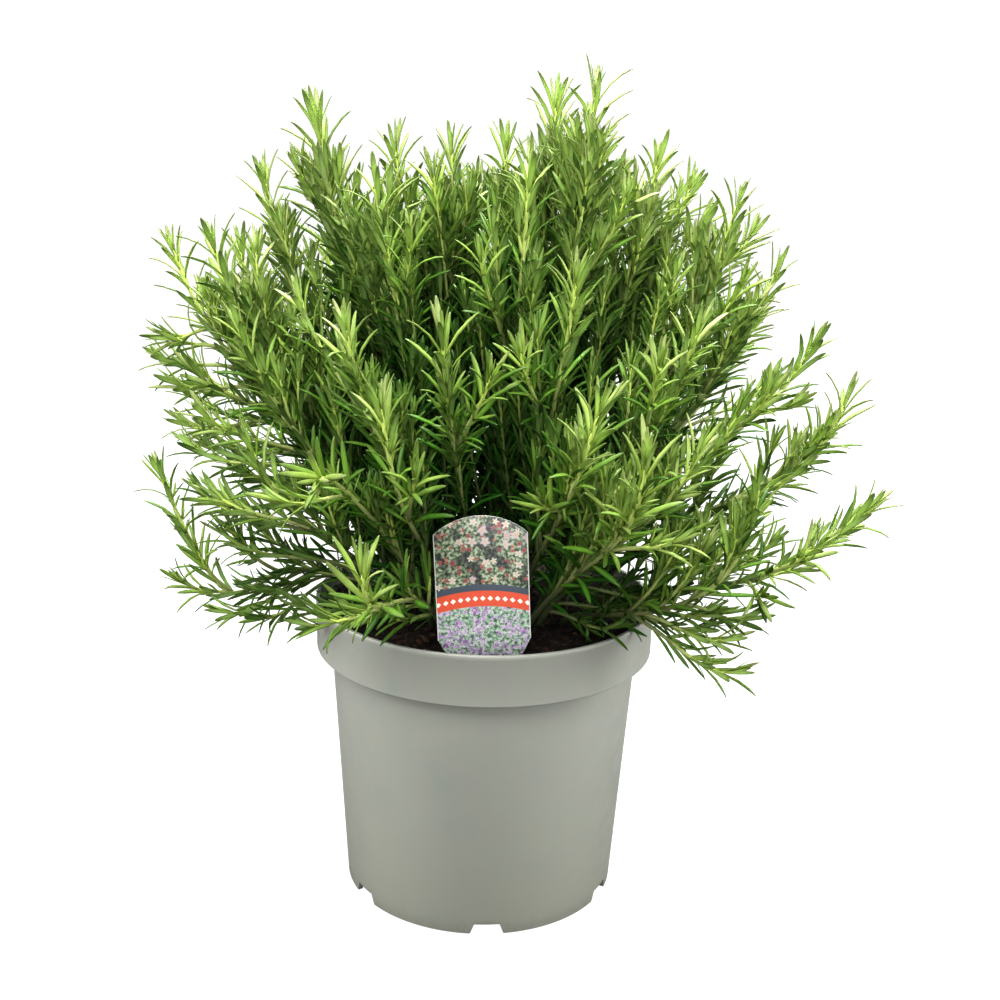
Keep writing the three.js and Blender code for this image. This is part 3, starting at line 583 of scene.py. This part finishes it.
SEGMENTS = 144  # round the pot: about 4 mm of rim each
EDGE_ROUND = 0.5
OVER_NOTCHES = 9  # height of a ring in the wall, just over the notches in its foot
NOTCH_CUTTER = dict(depth=12, below=1)  # its whole depth through the wall, and how far it reaches below
BAND_BOTTOM = POT["height"] - POT["band_height"]
FLOOR_TOP = POT["foot"] + POT["floor"]


def wall_radius(z):
    return POT["base"] + (POT["wall_top"] - POT["base"]) * z / BAND_BOTTOM


def make_pot():
    wall, lip_bottom = POT["wall"], POT["height"] - POT["lip_height"]
    step_top = BAND_BOTTOM + wall
    foot_inside = POT["base"] - POT["foot_wall"]
    pot = turned("nursery_pot", [
        (foot_inside, POT["foot"]), (foot_inside, 0), (POT["base"], 0), (wall_radius(OVER_NOTCHES), OVER_NOTCHES),
        (POT["wall_top"], BAND_BOTTOM),
        (POT["band"], BAND_BOTTOM), (POT["band"], lip_bottom), (POT["rim"], lip_bottom + POT["lip_slant"]),
        (POT["rim"], POT["height"]), (POT["rim"] - POT["lip"], POT["height"]),
        (POT["band"] - wall, lip_bottom), (POT["band"] - wall, step_top), (POT["wall_top"] - wall, step_top),
        (wall_radius(FLOOR_TOP) - wall, FLOOR_TOP),
    ], SEGMENTS)
    cutters = []
    for i in range(NOTCH["count"]):
        at = (POT["base"] * MM, 0, (POT["foot"] - NOTCH_CUTTER["below"]) / 2 * MM)
        notch = primitive("cube", "notch", size=1, location=at,
                          scale=(NOTCH_CUTTER["depth"] * MM, NOTCH["bottom"] * MM,
                                 (POT["foot"] + NOTCH_CUTTER["below"]) * MM))
        in_edit(notch)
        pick(notch, lambda place: place.z > POT["foot"] / 2)
        bpy.ops.transform.resize(value=(1, NOTCH["top"] / NOTCH["bottom"], 1), center_override=at)
        cutters.append(turn_round(out_of_edit(notch), NOTCH["first"] + i * 360 / NOTCH["count"]))
    for i in range(-1, NOTCH["count"]):  # the first one is in the middle
        drain = primitive("cylinder", "drain", vertices=32, radius=DRAIN["radius"] * MM, depth=DRAIN["depth"] * MM,
                          location=(0 if i < 0 else DRAIN["ring"] * MM, 0, FLOOR_TOP * MM))
        cutters.append(turn_round(drain, NOTCH["first"] + (i + 0.5) * 360 / NOTCH["count"]))
    cutter = join(*cutters)
    modify(pot, "BOOLEAN", operation="DIFFERENCE", object=cutter, solver="EXACT")
    bpy.data.objects.remove(cutter)
    modify(pot, "BEVEL", width=EDGE_ROUND * MM, segments=3, limit_method="ANGLE", angle_limit=math.radians(40))
    return smooth(pot, 35)


# ---------------------------------------------------------------- compost

SOIL_GAP = 0.35  # between the compost and the pot
SOIL_RINGS, SOIL_SEGMENTS = 56, 150
RELIEF = ((14, 2.2), (4.5, 2.6), (2.2, 1.3))  # how wide and how high clods and crumbs are
RELIEF_FADE = 4  # from the wall inwards
CHIPS = dict(count=620, from_wall=3, smallest=0.9, spread=2.4)
CHIP_THICKNESSES = (0.35, 0.5, 0.8)


def soil_height(x, y):
    inside = POT["band"] - POT["wall"]
    mound = SOIL["mound"] * (1 - (x * x + y * y) / inside ** 2)
    lumps = math.sin(x / 7.3 + math.sin(y / 9.1)) * math.cos(y / 6.1 - x / 15.7)
    return SOIL["edge"] + mound + SOIL["lump"] * lumps


def make_soil():
    gap = SOIL_GAP
    inside = POT["band"] - POT["wall"] - gap
    step_top = BAND_BOTTOM + POT["wall"] + gap
    rings = [inside * (1 - i / SOIL_RINGS) for i in range(SOIL_RINGS)]
    soil = turned("potting_compost", [
        (wall_radius(FLOOR_TOP) - POT["wall"] - gap, FLOOR_TOP + gap),
        (POT["wall_top"] - POT["wall"] - gap, step_top), (inside, step_top),
        *((radius, SOIL["edge"]) for radius in rings)], SOIL_SEGMENTS)
    top = soil.vertex_groups.new(name="top")
    for point in soil.data.vertices:
        if point.co.z > (SOIL["edge"] - 1) * MM:
            x, y = point.co.x / MM, point.co.y / MM
            point.co.z = soil_height(x, y) * MM
            reach = math.hypot(x, y)
            top.add([point.index], min(1, max(0, (inside - reach) / RELIEF_FADE)), "REPLACE")
    for size, height in RELIEF:
        cloud = bpy.data.textures.new("crumbs", "CLOUDS")
        cloud.noise_scale, cloud.noise_depth = size * MM, 2
        modify(soil, "DISPLACE", texture=cloud, texture_coords="GLOBAL", direction="Z", mid_level=0.5,
               strength=2 * height * MM, vertex_group="top")
    return smooth(soil, 60)


def make_crumbs(soil, draw):
    """Chips of bark and crumbs of peat, scattered on the compost, each from one of three modelled ones."""
    chips = []
    for i, thickness in enumerate(CHIP_THICKNESSES):
        chip = primitive("ico_sphere", "chip", subdivisions=2, radius=MM, scale=(1.0, 0.55, thickness * 0.6))
        cloud = bpy.data.textures.new("chip", "VORONOI")
        cloud.noise_scale = (0.8 + 0.3 * i) * MM
        modify(chip, "DISPLACE", texture=cloud, texture_coords="LOCAL", strength=0.5 * MM, mid_level=0.5)
        chips.append(template_of(chip))
    placed = [[] for _ in chips]
    inside = POT["band"] - POT["wall"] - CHIPS["from_wall"]
    for _ in range(CHIPS["count"]):
        reach, angle = inside * math.sqrt(draw.random()), draw.uniform(0, 2 * math.pi)
        x, y = reach * math.cos(angle), reach * math.sin(angle)
        _, place, normal, _ = soil.ray_cast(Vector((x, y, 200)) * MM, Vector((0, 0, -1)))
        size = CHIPS["smallest"] + CHIPS["spread"] * draw.random() ** 2
        turn = (normal.to_track_quat("Z", "Y").to_matrix() @ Matrix.Rotation(draw.uniform(0, 6.3), 3, "Z")
                @ Matrix.Rotation(draw.uniform(-0.4, 0.4), 3, "X"))
        which = draw.randrange(len(chips))
        placed[which].append((np.array(place) / MM + np.array(normal) * 0.2 * size, np.array(turn).T,
                              np.array((size * draw.uniform(0.8, 1.6), size, size)), draw.random() ** 1.5, 0.0))
    return copies("bark_chips", chips, placed)


# ---------------------------------------------------------------- what repeats: modelled once, then copied


def template_of(piece, under=None, across=None):
    """The mesh of a modelled piece as arrays, in millimetres. The piece itself goes."""
    mesh = piece.data
    points = np.array([v.co for v in mesh.vertices]) / MM
    corners = np.array([loop.vertex_index for loop in mesh.loops])
    made = dict(points=points, corners=corners, starts=np.array([p.loop_start for p in mesh.polygons]),
                under=np.zeros(len(points)) if under is None else under,
                uv=np.zeros((len(corners), 2)) if across is None else across[corners])
    bpy.data.objects.remove(piece)
    return made


def copies(name, templates, placed):
    """One mesh of all the copies. placed has a list for each template, of [root, directions of the
    template's x, y and z, scale along them, tone, youth]."""
    points, corners, starts, under, uv, tone, youth = [], [], [], [], [], [], []
    point_count = corner_count = 0
    for template, rows in zip(templates, placed):
        if not rows:
            continue
        roots, axes, scales, tones, youths = (np.array([row[i] for row in rows]) for i in range(5))
        shape = template["points"]
        made = np.einsum("kpi,kij->kpj", shape[None] * scales[:, None, :], axes) + roots[:, None, :]
        count, size, corner_size = len(rows), len(shape), len(template["corners"])
        points.append(made.reshape(-1, 3))
        first = point_count + np.arange(count)[:, None] * size
        corners.append((first + template["corners"][None]).ravel())
        first = corner_count + np.arange(count)[:, None] * corner_size
        starts.append((first + template["starts"][None]).ravel())
        under.append(np.tile(template["under"], count))
        uv.append(np.tile(template["uv"], (count, 1)))
        tone.append(np.repeat(tones, size))
        youth.append(np.repeat(youths, size))
        point_count += count * size
        corner_count += count * corner_size
    mesh = bpy.data.meshes.new(name)
    mesh.vertices.add(point_count)
    mesh.vertices.foreach_set("co", (np.concatenate(points) * MM).ravel())
    mesh.loops.add(corner_count)
    mesh.loops.foreach_set("vertex_index", np.concatenate(corners))
    starts = np.concatenate(starts)
    mesh.polygons.add(len(starts))
    mesh.polygons.foreach_set("loop_start", starts)
    mesh.update(calc_edges=True)
    for name_of, values in (("under", under), ("tone", tone), ("youth", youth)):
        mesh.attributes.new(name_of, "FLOAT", "POINT").data.foreach_set("value", np.concatenate(values))
    mesh.uv_layers.new(name="UVMap").data.foreach_set("uv", np.concatenate(uv).ravel())
    piece = bpy.data.objects.new(name, mesh)
    scene.collection.objects.link(piece)
    return piece


# ---------------------------------------------------------------- leaves

LEAF = dict(length=25, half_width=1.6, half_thickness=0.46)
GROOVE, FLAT_BELOW, ROLLED = 0.2, 0.4, 0.75  # shares of a leaf's half thickness
# The stations along a leaf: (share of its length, of its half width, of its half thickness).
LARGE = [(0, 0.28, 0.7), (0.2, 0.7, 0.9), (0.5, 1.02, 1), (0.78, 0.92, 0.9), (0.93, 0.58, 0.75), (1, 0.2, 0.45)]
SMALL = [(0, 0.32, 0.7), (0.4, 1, 1), (0.84, 0.76, 0.8), (1, 0.22, 0.45)]
BENDS = [-70, -52, -38, -26, -15, -5, 6, 18]  # degrees over a leaf's length; below zero curls outwards


def model_leaf(sides, stations, bend):
    """A leaf up along Z, its upper face to +Y: a groove over the midrib, margins rolled under."""
    length = LEAF["length"]
    leaf = primitive("cylinder", "leaf", vertices=sides, radius=MM, depth=length * MM,
                     end_fill_type="NGON", location=(0, 0, length / 2 * MM))
    in_edit(leaf)
    for share, _, _ in stations[1:-1]:
        bpy.ops.mesh.select_all(action="SELECT")
        bpy.ops.mesh.bisect(plane_co=(0, 0, share * length * MM), plane_no=(0, 0, 1))
    out_of_edit(leaf)
    round_it = np.array([v.co for v in leaf.data.vertices]) / MM
    under = (1 - round_it[:, 1]) / 2
    across = np.stack([(round_it[:, 0] + 1) / 2, round_it[:, 2] / length], 1)
    in_edit(leaf)
    # on a rod of radius one: the groove over the midrib, the lower side beside the rib, the margins
    pick(leaf, lambda place: place.y > 0.95)
    bpy.ops.transform.resize(value=(1, GROOVE, 1), center_override=(0, 0, 0))
    pick(leaf, lambda place: abs(place.x) > 0.3 and place.y < -0.3)
    bpy.ops.transform.resize(value=(1, FLAT_BELOW, 1), center_override=(0, 0, 0))
    pick(leaf, lambda place: abs(place.x) > 0.95 and 0.1 < place.z / length < 0.9)
    bpy.ops.transform.translate(value=(0, -ROLLED * MM, 0))
    for share, wide, thick in stations:
        pick(leaf, lambda place: abs(place.z - share * length) < 0.05)
        bpy.ops.transform.resize(value=(wide * LEAF["half_width"], thick * LEAF["half_thickness"], 1),
                                 center_override=(0, 0, share * length * MM))
    out_of_edit(leaf)
    modify(leaf, "SIMPLE_DEFORM", deform_method="BEND", deform_axis="X", angle=math.radians(bend))
    return template_of(leaf, under, across)


# ---------------------------------------------------------------- the lines that the stems follow

UP = np.array([0.0, 0.0, 1.0])


def unit(vector):
    return vector / np.linalg.norm(vector)


def long(vector, length):
    return unit(vector) * length


def place_feet():
    """Each foot lies under its tip's bearing, farther out for a lower tip, and clear of the others."""
    feet = []
    for (x, y, z), _, _ in STEMS:
        tilt = math.atan2(math.hypot(x, y), z - SOIL["edge"]) / math.radians(FULL_TILT)
        feet.append(complex(x, y) / abs(complex(x, y)) * OUTERMOST_FOOT * min(tilt, 1))
    for _ in range(PUSHES):
        for i in range(len(feet)):
            for j in range(len(feet)):
                apart = abs(feet[j] - feet[i])
                if i != j and apart < FOOT_SPACING:
                    push = (feet[j] - feet[i]) / apart * (FOOT_SPACING - apart) / 4
                    feet[i] -= push
                    feet[j] += push
            feet[i] *= min(1, OUTERMOST_FOOT / abs(feet[i]))
    return [np.array([foot.real, foot.imag, soil_height(foot.real, foot.imag)]) for foot in feet]


# How far the bends of a curve are from its ends, as a share of the distance between them.
STEM_REACH, TWIG_REACH = (0.36, 0.3), (0.35, 0.3)
# How much a stem leans where it leaves its foot and where it arrives, against one part straight up.
STEM_LEAN = (0.9, 0.55)


def stem_bends(foot, tip, bends):
    """The four controls of a stem, which leaves its foot at a slant and turns up towards its tip."""
    end = np.array(tip) - BEYOND_TIP * UP
    if bends:
        return np.array([foot, *bends, end], float)
    length = np.linalg.norm(end - foot)
    lean = (end - foot) * (1, 1, 0) / length
    leaving, arriving = (long(UP + slant * lean, reach * length) for slant, reach in zip(STEM_LEAN, STEM_REACH))
    return np.array([foot, foot + leaving, end - arriving, end])


def twig_bends(start, way, end):
    """The four controls of a twig, which leaves its stem at a slant and turns up too."""
    chord = end - start
    length = np.linalg.norm(chord)
    leaving = long(chord + 0.5 * length * way, TWIG_REACH[0] * length)
    arriving = long(chord + 0.7 * length * UP, TWIG_REACH[1] * length)
    return np.array([start, start + leaving, end - arriving, end])


def bezier(bends, share):
    """The place at a share of a Bezier curve, or the places at several shares."""
    s = np.asarray(share, float)[..., None]
    return ((1 - s) ** 3 * bends[0] + 3 * (1 - s) ** 2 * s * bends[1] + 3 * (1 - s) * s * s * bends[2]
            + s ** 3 * bends[3])


class Line:
    """A curve that can be walked along by distance, in millimetres."""

    STEPS = 240

    def __init__(self, bends):
        self.bends = bends
        self.fine = bezier(bends, np.linspace(0, 1, self.STEPS))
        self.along = np.concatenate([[0], np.cumsum(np.linalg.norm(np.diff(self.fine, axis=0), axis=1))])
        self.length = self.along[-1]

    def at(self, distance):
        return np.array([np.interp(distance, self.along, self.fine[:, axis]) for axis in range(3)])

    def way(self, distance):
        return unit(self.at(min(distance + 1, self.length)) - self.at(max(distance - 1, 0)))


# ---------------------------------------------------------------- where nothing may grow

LOWEST, HIGHEST = np.array(cad_low) / MM - 7, np.array(cad_high) / MM + 2
LABEL_CLEAR = dict(behind=3, beside=1, from_height=140)  # the room that foliage leaves round the label


def in_pot(place, room):
    """Whether a place lies in, or a little over, the pot or its compost."""
    radius = math.hypot(place[0], place[1])
    if radius > POT["rim"] + room:
        return False
    on_band = radius > POT["band"] - POT["wall"] - room
    return place[2] < (POT["height"] if on_band else soil_height(place[0], place[1])) + room


def by_label(place):
    """Whether a place is in the plant label, or in front of its face."""
    if place[1] > LABEL["y"] + LABEL_CLEAR["behind"]:
        return False
    x, _, z = place
    middle = LABEL["x"] + (z - SOIL["edge"]) * math.sin(math.radians(LABEL["lean"]))
    beside = LABEL_CLEAR["beside"]
    return (abs(x - middle) < LABEL["width"] / 2 + beside
            and LABEL_CLEAR["from_height"] < z < LABEL["top"] + beside)


def free(places, room):
    """Whether places are clear of the pot and label, and no farther out than the part."""
    return not any(in_pot(place, room) or by_label(place) or np.any(place < LOWEST) or np.any(place > HIGHEST)
                   for place in places)


# ---------------------------------------------------------------- leafy shoots

# painted light and shade: leaves and stems darker deep in the crown, lighter high up
CROWN = dict(centre=np.array([0, 0, 215]), reach=np.array([200, 155, 240]))
DARK_WITHIN, DIM_OVER = 0.42, 0.42  # as shares of the crown's reach, from its centre outwards
LOW_LIGHT, MORE_HIGH_UP = 0.84, 0.38
RISE_FROM, RISE_OVER = 180, 200  # heights between which the light grows from low to full


def light_at(place):
    """Painted light and shade for a place: 0 deep in the crown, where shade falls, 1 outside, and more high up, where
    light falls. It darkens and lightens the colour of leaves and stems.
    """
    reach = np.linalg.norm((place - CROWN["centre"]) / CROWN["reach"])
    height = min(1, max(0, (place[2] - RISE_FROM) / RISE_OVER))
    return min(1, max(0, (reach - DARK_WITHIN) / DIM_OVER)) * (LOW_LIGHT + MORE_HIGH_UP * height)


# The pairs of leaves at a shoot's tip, from the top down: (millimetres to the next pair, degrees from
# the stem, share of a whole leaf's length, degrees of bend).
TIP_PAIRS = [(1.2, 2, 0.5, 0), (2.2, 5, 0.68, -8), (3.2, 8, 0.84, -20), (4.2, 11, 0.96, -34),
             (5.2, 13, 1.04, -48), (6.4, 15, 1.06, -50), (7.6, 17, 1.06, -42), (8.4, 20, 1.05, -32)]
# The pairs farther down: millimetres between them, degrees from the stem, degrees of bend.
PAIR_GAP, OPENINGS, CURLS = 9.0, (16, 32), (-54, 8)
BELOW_TIP = 24  # how far side shoots stay below the end of their stem
TUFTED = 0.3  # share of the older leaves with young ones in their axil
LIFT = 0.16  # how much a leaf on a level stem turns up
TWIST, BEND_SPREAD = 0.3, 9  # how leaves differ, in radians and in degrees
NARROWEST = 0.68  # share of a whole leaf's width
LEAF_ROOM = 2  # between a leaf's middle line and the pot
WIDER = dict(below=50, rate=0.24, most=30)  # degrees by which leaves open, more with each millimetre below the tip
YOUNG_FOR = 58  # millimetres below the tip, over which leaves grow old
TUFT = dict(leaves=(2, 3, 4, 5), turn=2.3, opening=(12, 36), length=(7, 15), bend=-14, younger=0.2)
SIDE_SHOOT = dict(shortest=14, longest=120, start=12, room=5, bare=6, thickest=1.05, tip=0.7)


def turn_about(vector, axis, angle):
    return (vector * math.cos(angle) + np.cross(axis, vector) * math.sin(angle)
            + axis * np.dot(axis, vector) * (1 - math.cos(angle)))


def square_to(way, level):
    return unit(level - way * np.dot(level, way))


class Foliage:
    """Collects the leaves and stem tubes of one leafy stem."""

    def __init__(self, seed):
        self.draw = random.Random(seed)
        self.leaves = [[] for _ in range(2 * len(BENDS))]
        self.tubes = []

    def leaf(self, root, way, out, opening, length, bend, tone, youth, small=False):
        """One leaf from root, opened from the stem's way towards out, unless it has no room."""
        draw = self.draw
        light = light_at(root)
        # painted shade and light: a leaf deep in the crown is darker and looks less young, one high up lighter
        tone, youth = tone * light + max(0, light - 1), youth * (0.55 + 0.45 * light)
        direction = way * math.cos(opening) + out * math.sin(opening)
        direction = unit(direction + UP * LIFT * (1 - max(way[2], 0)))
        face = way * math.sin(opening) - out * math.cos(opening)
        face = unit(face - direction * np.dot(face, direction))
        face = turn_about(face, direction, draw.gauss(0, TWIST))
        curl = math.radians(bend or -1)
        bent = [root + length / curl * (direction * math.sin(share * curl) + face * (1 - math.cos(share * curl)))
                for share in (0.25, 0.5, 0.75, 1)]
        if not free(bent, LEAF_ROOM):
            return
        bend += draw.gauss(0, BEND_SPREAD)
        which = min(range(len(BENDS)), key=lambda i: abs(BENDS[i] - bend))
        scale = length / LEAF["length"]
        wide = draw.uniform(NARROWEST, 1.0) * (0.5 + 0.5 * min(scale, 1.3))
        axes = np.array([np.cross(face, direction), face, direction])
        self.leaves[which + len(BENDS) * small].append(
            (root, axes, (wide, max(scale, 0.6) if small else scale, scale), tone, youth))

    def tuft(self, root, way, out, tone, youth):
        """Two to five young leaves in a leaf's axil."""
        draw = self.draw
        axis = unit(way + 0.55 * out)
        side = unit(np.cross(way, out))
        for i in range(draw.choice(TUFT["leaves"])):
            beside = turn_about(side, axis, i * TUFT["turn"] + draw.uniform(-0.4, 0.4))
            self.leaf(root, axis, beside, math.radians(draw.uniform(*TUFT["opening"])),
                      draw.uniform(*TUFT["length"]), TUFT["bend"], tone, min(1, youth + TUFT["younger"]), small=True)

    def shoot(self, line, radii, bare, vigour, woodiness, branching):
        """Pairs of leaves up a line, each a quarter turn from the last, with side shoots and tufts."""
        draw = self.draw
        tone = draw.uniform(0.25, 0.75)
        chord = line.at(line.length) - line.at(0)
        level = unit(np.array([-chord[1], chord[0], 0.001]))
        phase = draw.uniform(-0.35, 0.35)
        self.tubes.append((line, radii, woodiness, tone))
        distance, pair, side_shoots = line.length - 0.6, 0, []
        while distance > bare:
            gap, opening, share, bend = TIP_PAIRS[pair] if pair < len(TIP_PAIRS) else (
                PAIR_GAP * draw.uniform(0.8, 1.2), draw.uniform(*OPENINGS), 1.0, draw.uniform(*CURLS))
            below = line.length - distance
            opening += min(WIDER["most"], max(0, below - WIDER["below"]) * WIDER["rate"])
            root, way = line.at(distance), line.way(distance)
            side = turn_about(square_to(way, level), way, phase + pair * math.pi / 2)
            youth = math.exp(-below / YOUNG_FOR)
            radius = radii[0] + (radii[1] - radii[0]) * distance / line.length
            for half in (1, -1):
                out = turn_about(side * half, way, draw.gauss(0, 0.14))
                size = LEAF["length"] * share * vigour * draw.uniform(0.8, 1.06)
                self.leaf(root + out * radius * 0.55, way, out, math.radians(opening + draw.gauss(0, 5)), size,
                          bend, min(1, max(0, tone + draw.gauss(0, 0.2))), youth, small=pair < 2)
                if pair >= 5 and draw.random() < TUFTED:
                    self.tuft(root + out * (radius + 0.4), way, out, tone, youth)
                elif pair >= 6 and draw.random() < branching:
                    side_shoots.append((distance, out, below))
            distance -= gap
            pair += 1
        for distance, out, below in side_shoots:
            self.side_shoot(line, distance, out, below, vigour, woodiness, radii)

    def side_shoot(self, line, distance, out, below, vigour, woodiness, radii):
        """A shoot from a leaf's axil, which bends up; left out where it would meet the pot or label."""
        draw = self.draw
        root, way = line.at(distance), line.way(distance)
        towards = unit(way * 0.6 + out * 0.32 + UP * 0.75)
        headroom = line.at(line.length)[2] - BELOW_TIP - root[2]
        length = min(SIDE_SHOOT["longest"], SIDE_SHOOT["start"] + below * draw.uniform(0.3, 0.66),
                     headroom / max(towards[2], 0.2))
        if length < SIDE_SHOOT["shortest"]:
            return
        side_line = Line(twig_bends(root, unit(way + 0.7 * out), root + towards * length))
        ahead = [side_line.at(share * side_line.length) for share in (0.4, 0.7, 1)]
        if not free(ahead, SIDE_SHOOT["room"]):
            return
        side_radii = min(SIDE_SHOOT["thickest"], radii[0] * 0.6), SIDE_SHOOT["tip"]
        self.shoot(side_line, side_radii, SIDE_SHOOT["bare"], vigour * draw.uniform(0.8, 0.98), woodiness * 0.4, 0.0)


TUBE_STEP, TUBE_END = 5, 0.45  # millimetres between the points of a tube, and how blunt its end is
GREEN_FOR = 60  # millimetres below the tip, over which a stem turns to wood


def stem_tubes(name, tubes):
    """The stems as tubes along their lines, marked with how young and how well lit each place is."""
    curve = bpy.data.curves.new(name, "CURVE")
    curve.dimensions, curve.bevel_depth, curve.bevel_resolution, curve.use_fill_caps = "3D", MM, 2, True
    marks = []
    for line, (foot, tip), woodiness, tone in tubes:
        count = max(4, int(line.length / TUBE_STEP) + 1)
        distances = np.linspace(0, line.length, count)
        spline = curve.splines.new("POLY")
        spline.points.add(count - 1)
        for point, distance in zip(spline.points, distances):
            place = line.at(distance)
            share = distance / line.length
            point.co = (*place * MM, 1)
            point.radius = (foot + (tip - foot) * share) * (TUBE_END if distance == distances[-1] else 1)
            youth = math.exp(-(line.length - distance) / GREEN_FOR) * (1 - woodiness) + share * woodiness * 0.9
            # tone times light_at: painted shade deep in the crown, painted light high up
            marks.append((place * MM, youth + (1 - woodiness) * 0.35 * share, tone * light_at(place)))
    piece = mesh_of(curve, 0.02)
    places = kdtree.KDTree(len(marks))
    for i, (place, _, _) in enumerate(marks):
        places.insert(place, i)
    places.balance()
    nearest = [marks[places.find(point.co)[1]] for point in piece.data.vertices]
    for name_of, index in (("youth", 1), ("tone", 2)):
        values = [min(1, mark[index]) for mark in nearest]
        piece.data.attributes.new(name_of, "FLOAT", "POINT").data.foreach_set("value", values)
    return piece


# ---------------------------------------------------------------- the whole plant

SEED = 300  # the first stem's draws are from the next one
STEM_RADII, TWIG_RADII = (1.75, 0.95), (1.2, 0.8)  # at the foot and at the tip
# How far up its line a stem is bare, as a share: one at the front of the plant, where it shows, and any other.
FRONT, BARE_IN_FRONT, BARE = -15, 0.16, 0.07

leaf_material, stem_material = make_leaf(), make_stem()
templates = [model_leaf(8, LARGE, bend) for bend in BENDS] + [model_leaf(6, SMALL, bend) for bend in BENDS]
feet = place_feet()
for number, (tip, bends, twigs) in enumerate(STEMS, 1):
    foliage = Foliage(SEED + number)
    foot = feet[number - 1]
    main = Line(stem_bends(foot, tip, bends))
    bare = main.length * (BARE_IN_FRONT if foot[1] < FRONT else BARE)
    foliage.shoot(main, STEM_RADII, bare, VIGOUR.get(number, 1.0), 0.85, BRANCHED.get(number, SIDE_SHOOTS))
    for share, *end in twigs + YOUNG.get(number, []):
        start = bezier(main.bends, share)
        way = unit(bezier(main.bends, share + 0.001) - bezier(main.bends, share - 0.001))
        twig = Line(twig_bends(start, way, np.array(end) - BEYOND_TIP * UP))
        foliage.shoot(twig, TWIG_RADII, min(14, twig.length * 0.3), 0.95, 0.4, 0.35)
    # the straight foot goes down into its hole in the compost
    below = Line(np.array([foot + height * UP for height in (-20, -13, -6, 0.5)]))
    foliage.tubes.append((below, (STEM_RADII[0], STEM_RADII[0]), 1.0, 0.5))
    leaves = copies(f"rosemary_stem_{number:02d}", templates, foliage.leaves)
    smooth(wear(leaves, leaf_material))
    tubes = smooth(wear(stem_tubes("tubes", foliage.tubes), stem_material))
    piece = join(leaves, tubes)
    stand_for(piece, f"leafy_stem_{number:02d}")

pot = wear(make_pot(), make_pot_plastic())
stand_for(pot, "pot")
soil = wear(make_soil(), make_compost())
crumbs = smooth(wear(make_crumbs(soil, random.Random(11)), make_bark()))
soil = join(soil, crumbs)
stand_for(soil, "soil")

# ---------------------------------------------------------------- plant label

CARD_BEVEL, ARCH_POINTS = 0.1, 33


def make_label():
    """A card with an arched head, narrow shoulders and a pointed stake, leaning in its own plane."""
    half, shoulder, stake = (LABEL[key] / 2 for key in ("width", "shoulder", "stake"))
    radius = (half ** 2 + LABEL["arch"] ** 2) / (2 * LABEL["arch"])
    reach = math.asin(half / radius)
    arch = [(radius * math.sin(a), LABEL["top"] - radius * (1 - math.cos(a)))
            for a in np.linspace(reach, -reach, ARCH_POINTS)]
    outline = [(0, LABEL["point"]), (stake, LABEL["point"] + LABEL["stake"]), (stake, LABEL["stake_top"]),
               (shoulder, LABEL["shoulder_bottom"]), (half, LABEL["shoulder_top"]), *arch,
               (-half, LABEL["shoulder_top"]), (-shoulder, LABEL["shoulder_bottom"]),
               (-stake, LABEL["stake_top"]), (-stake, LABEL["point"] + LABEL["stake"])]
    curve = bpy.data.curves.new("plant_label", "CURVE")
    curve.dimensions, curve.fill_mode = "2D", "BOTH"
    # the bevel adds its depth on each side and all round
    half_thickness = LABEL["thickness"] / 2
    curve.extrude, curve.bevel_depth, curve.bevel_resolution = (half_thickness - CARD_BEVEL) * MM, CARD_BEVEL * MM, 1
    curve.offset = -CARD_BEVEL * MM
    spline = curve.splines.new("POLY")
    spline.points.add(len(outline) - 1)
    for point, (x, z) in zip(spline.points, outline):
        point.co = (x * MM, (z - SOIL["edge"]) * MM, 0, 1)
    spline.use_cyclic_u = True
    card = mesh_of(curve, 0.01)
    while card.data.uv_layers:
        card.data.uv_layers.remove(card.data.uv_layers[0])
    layer = card.data.uv_layers.new(name="UVMap")
    for loop in card.data.loops:
        place = card.data.vertices[loop.vertex_index].co / MM
        layer.data[loop.index].uv = (place.x, place.y)
    wear(card, make_label_white(), make_label_print())
    for face in card.data.polygons:
        face.material_index = int(face.normal.z > 0.9)
    card.data.transform(Matrix.Translation(Vector((LABEL["x"], LABEL["y"], SOIL["edge"])) * MM)
                        @ Matrix.Rotation(math.radians(LABEL["lean"]), 4, "Y")
                        @ Matrix.Rotation(math.pi / 2, 4, "X"))
    return smooth(card, 30)


label = make_label()
stand_for(label, "label")

# ---------------------------------------------------------------- floor and surroundings

# White paper, lit for itself, so that the picture's ground stays white; it lights the plant far less.
floor = primitive("circle", "studio_floor", vertices=64, radius=40, fill_type="NGON", location=(0, 0, -0.3 * MM))
paper, tree = material("white_paper", Roughness=0.9, Base_Color=linear("#40403e"))
seen = add(tree, "LightPath", take="Is Camera Ray")
lit = add(tree, "Emission", {"Color": (1, 1, 1, 1), "Strength": 1.0})
matt = principled(paper).outputs["BSDF"]
own = add(tree, "AddShader", {0: matt, 1: lit})
both = add(tree, "MixShader", {0: seen, 1: matt, 2: own})
tree.links.new(both, tree.nodes["Material Output"].inputs["Surface"])
wear(floor, paper)
world = bpy.data.worlds.new("studio")
world.use_nodes = True
scene.world = world
tree = world.node_tree
seen = add(tree, "LightPath", take="Is Camera Ray")
strength = add(tree, "MapRange", {"Value": seen, "To Min": 0.21, "To Max": 1.1})
tree.nodes["Background"].inputs["Color"].default_value = (1, 1, 1, 1)
tree.links.new(strength, tree.nodes["Background"].inputs["Strength"])
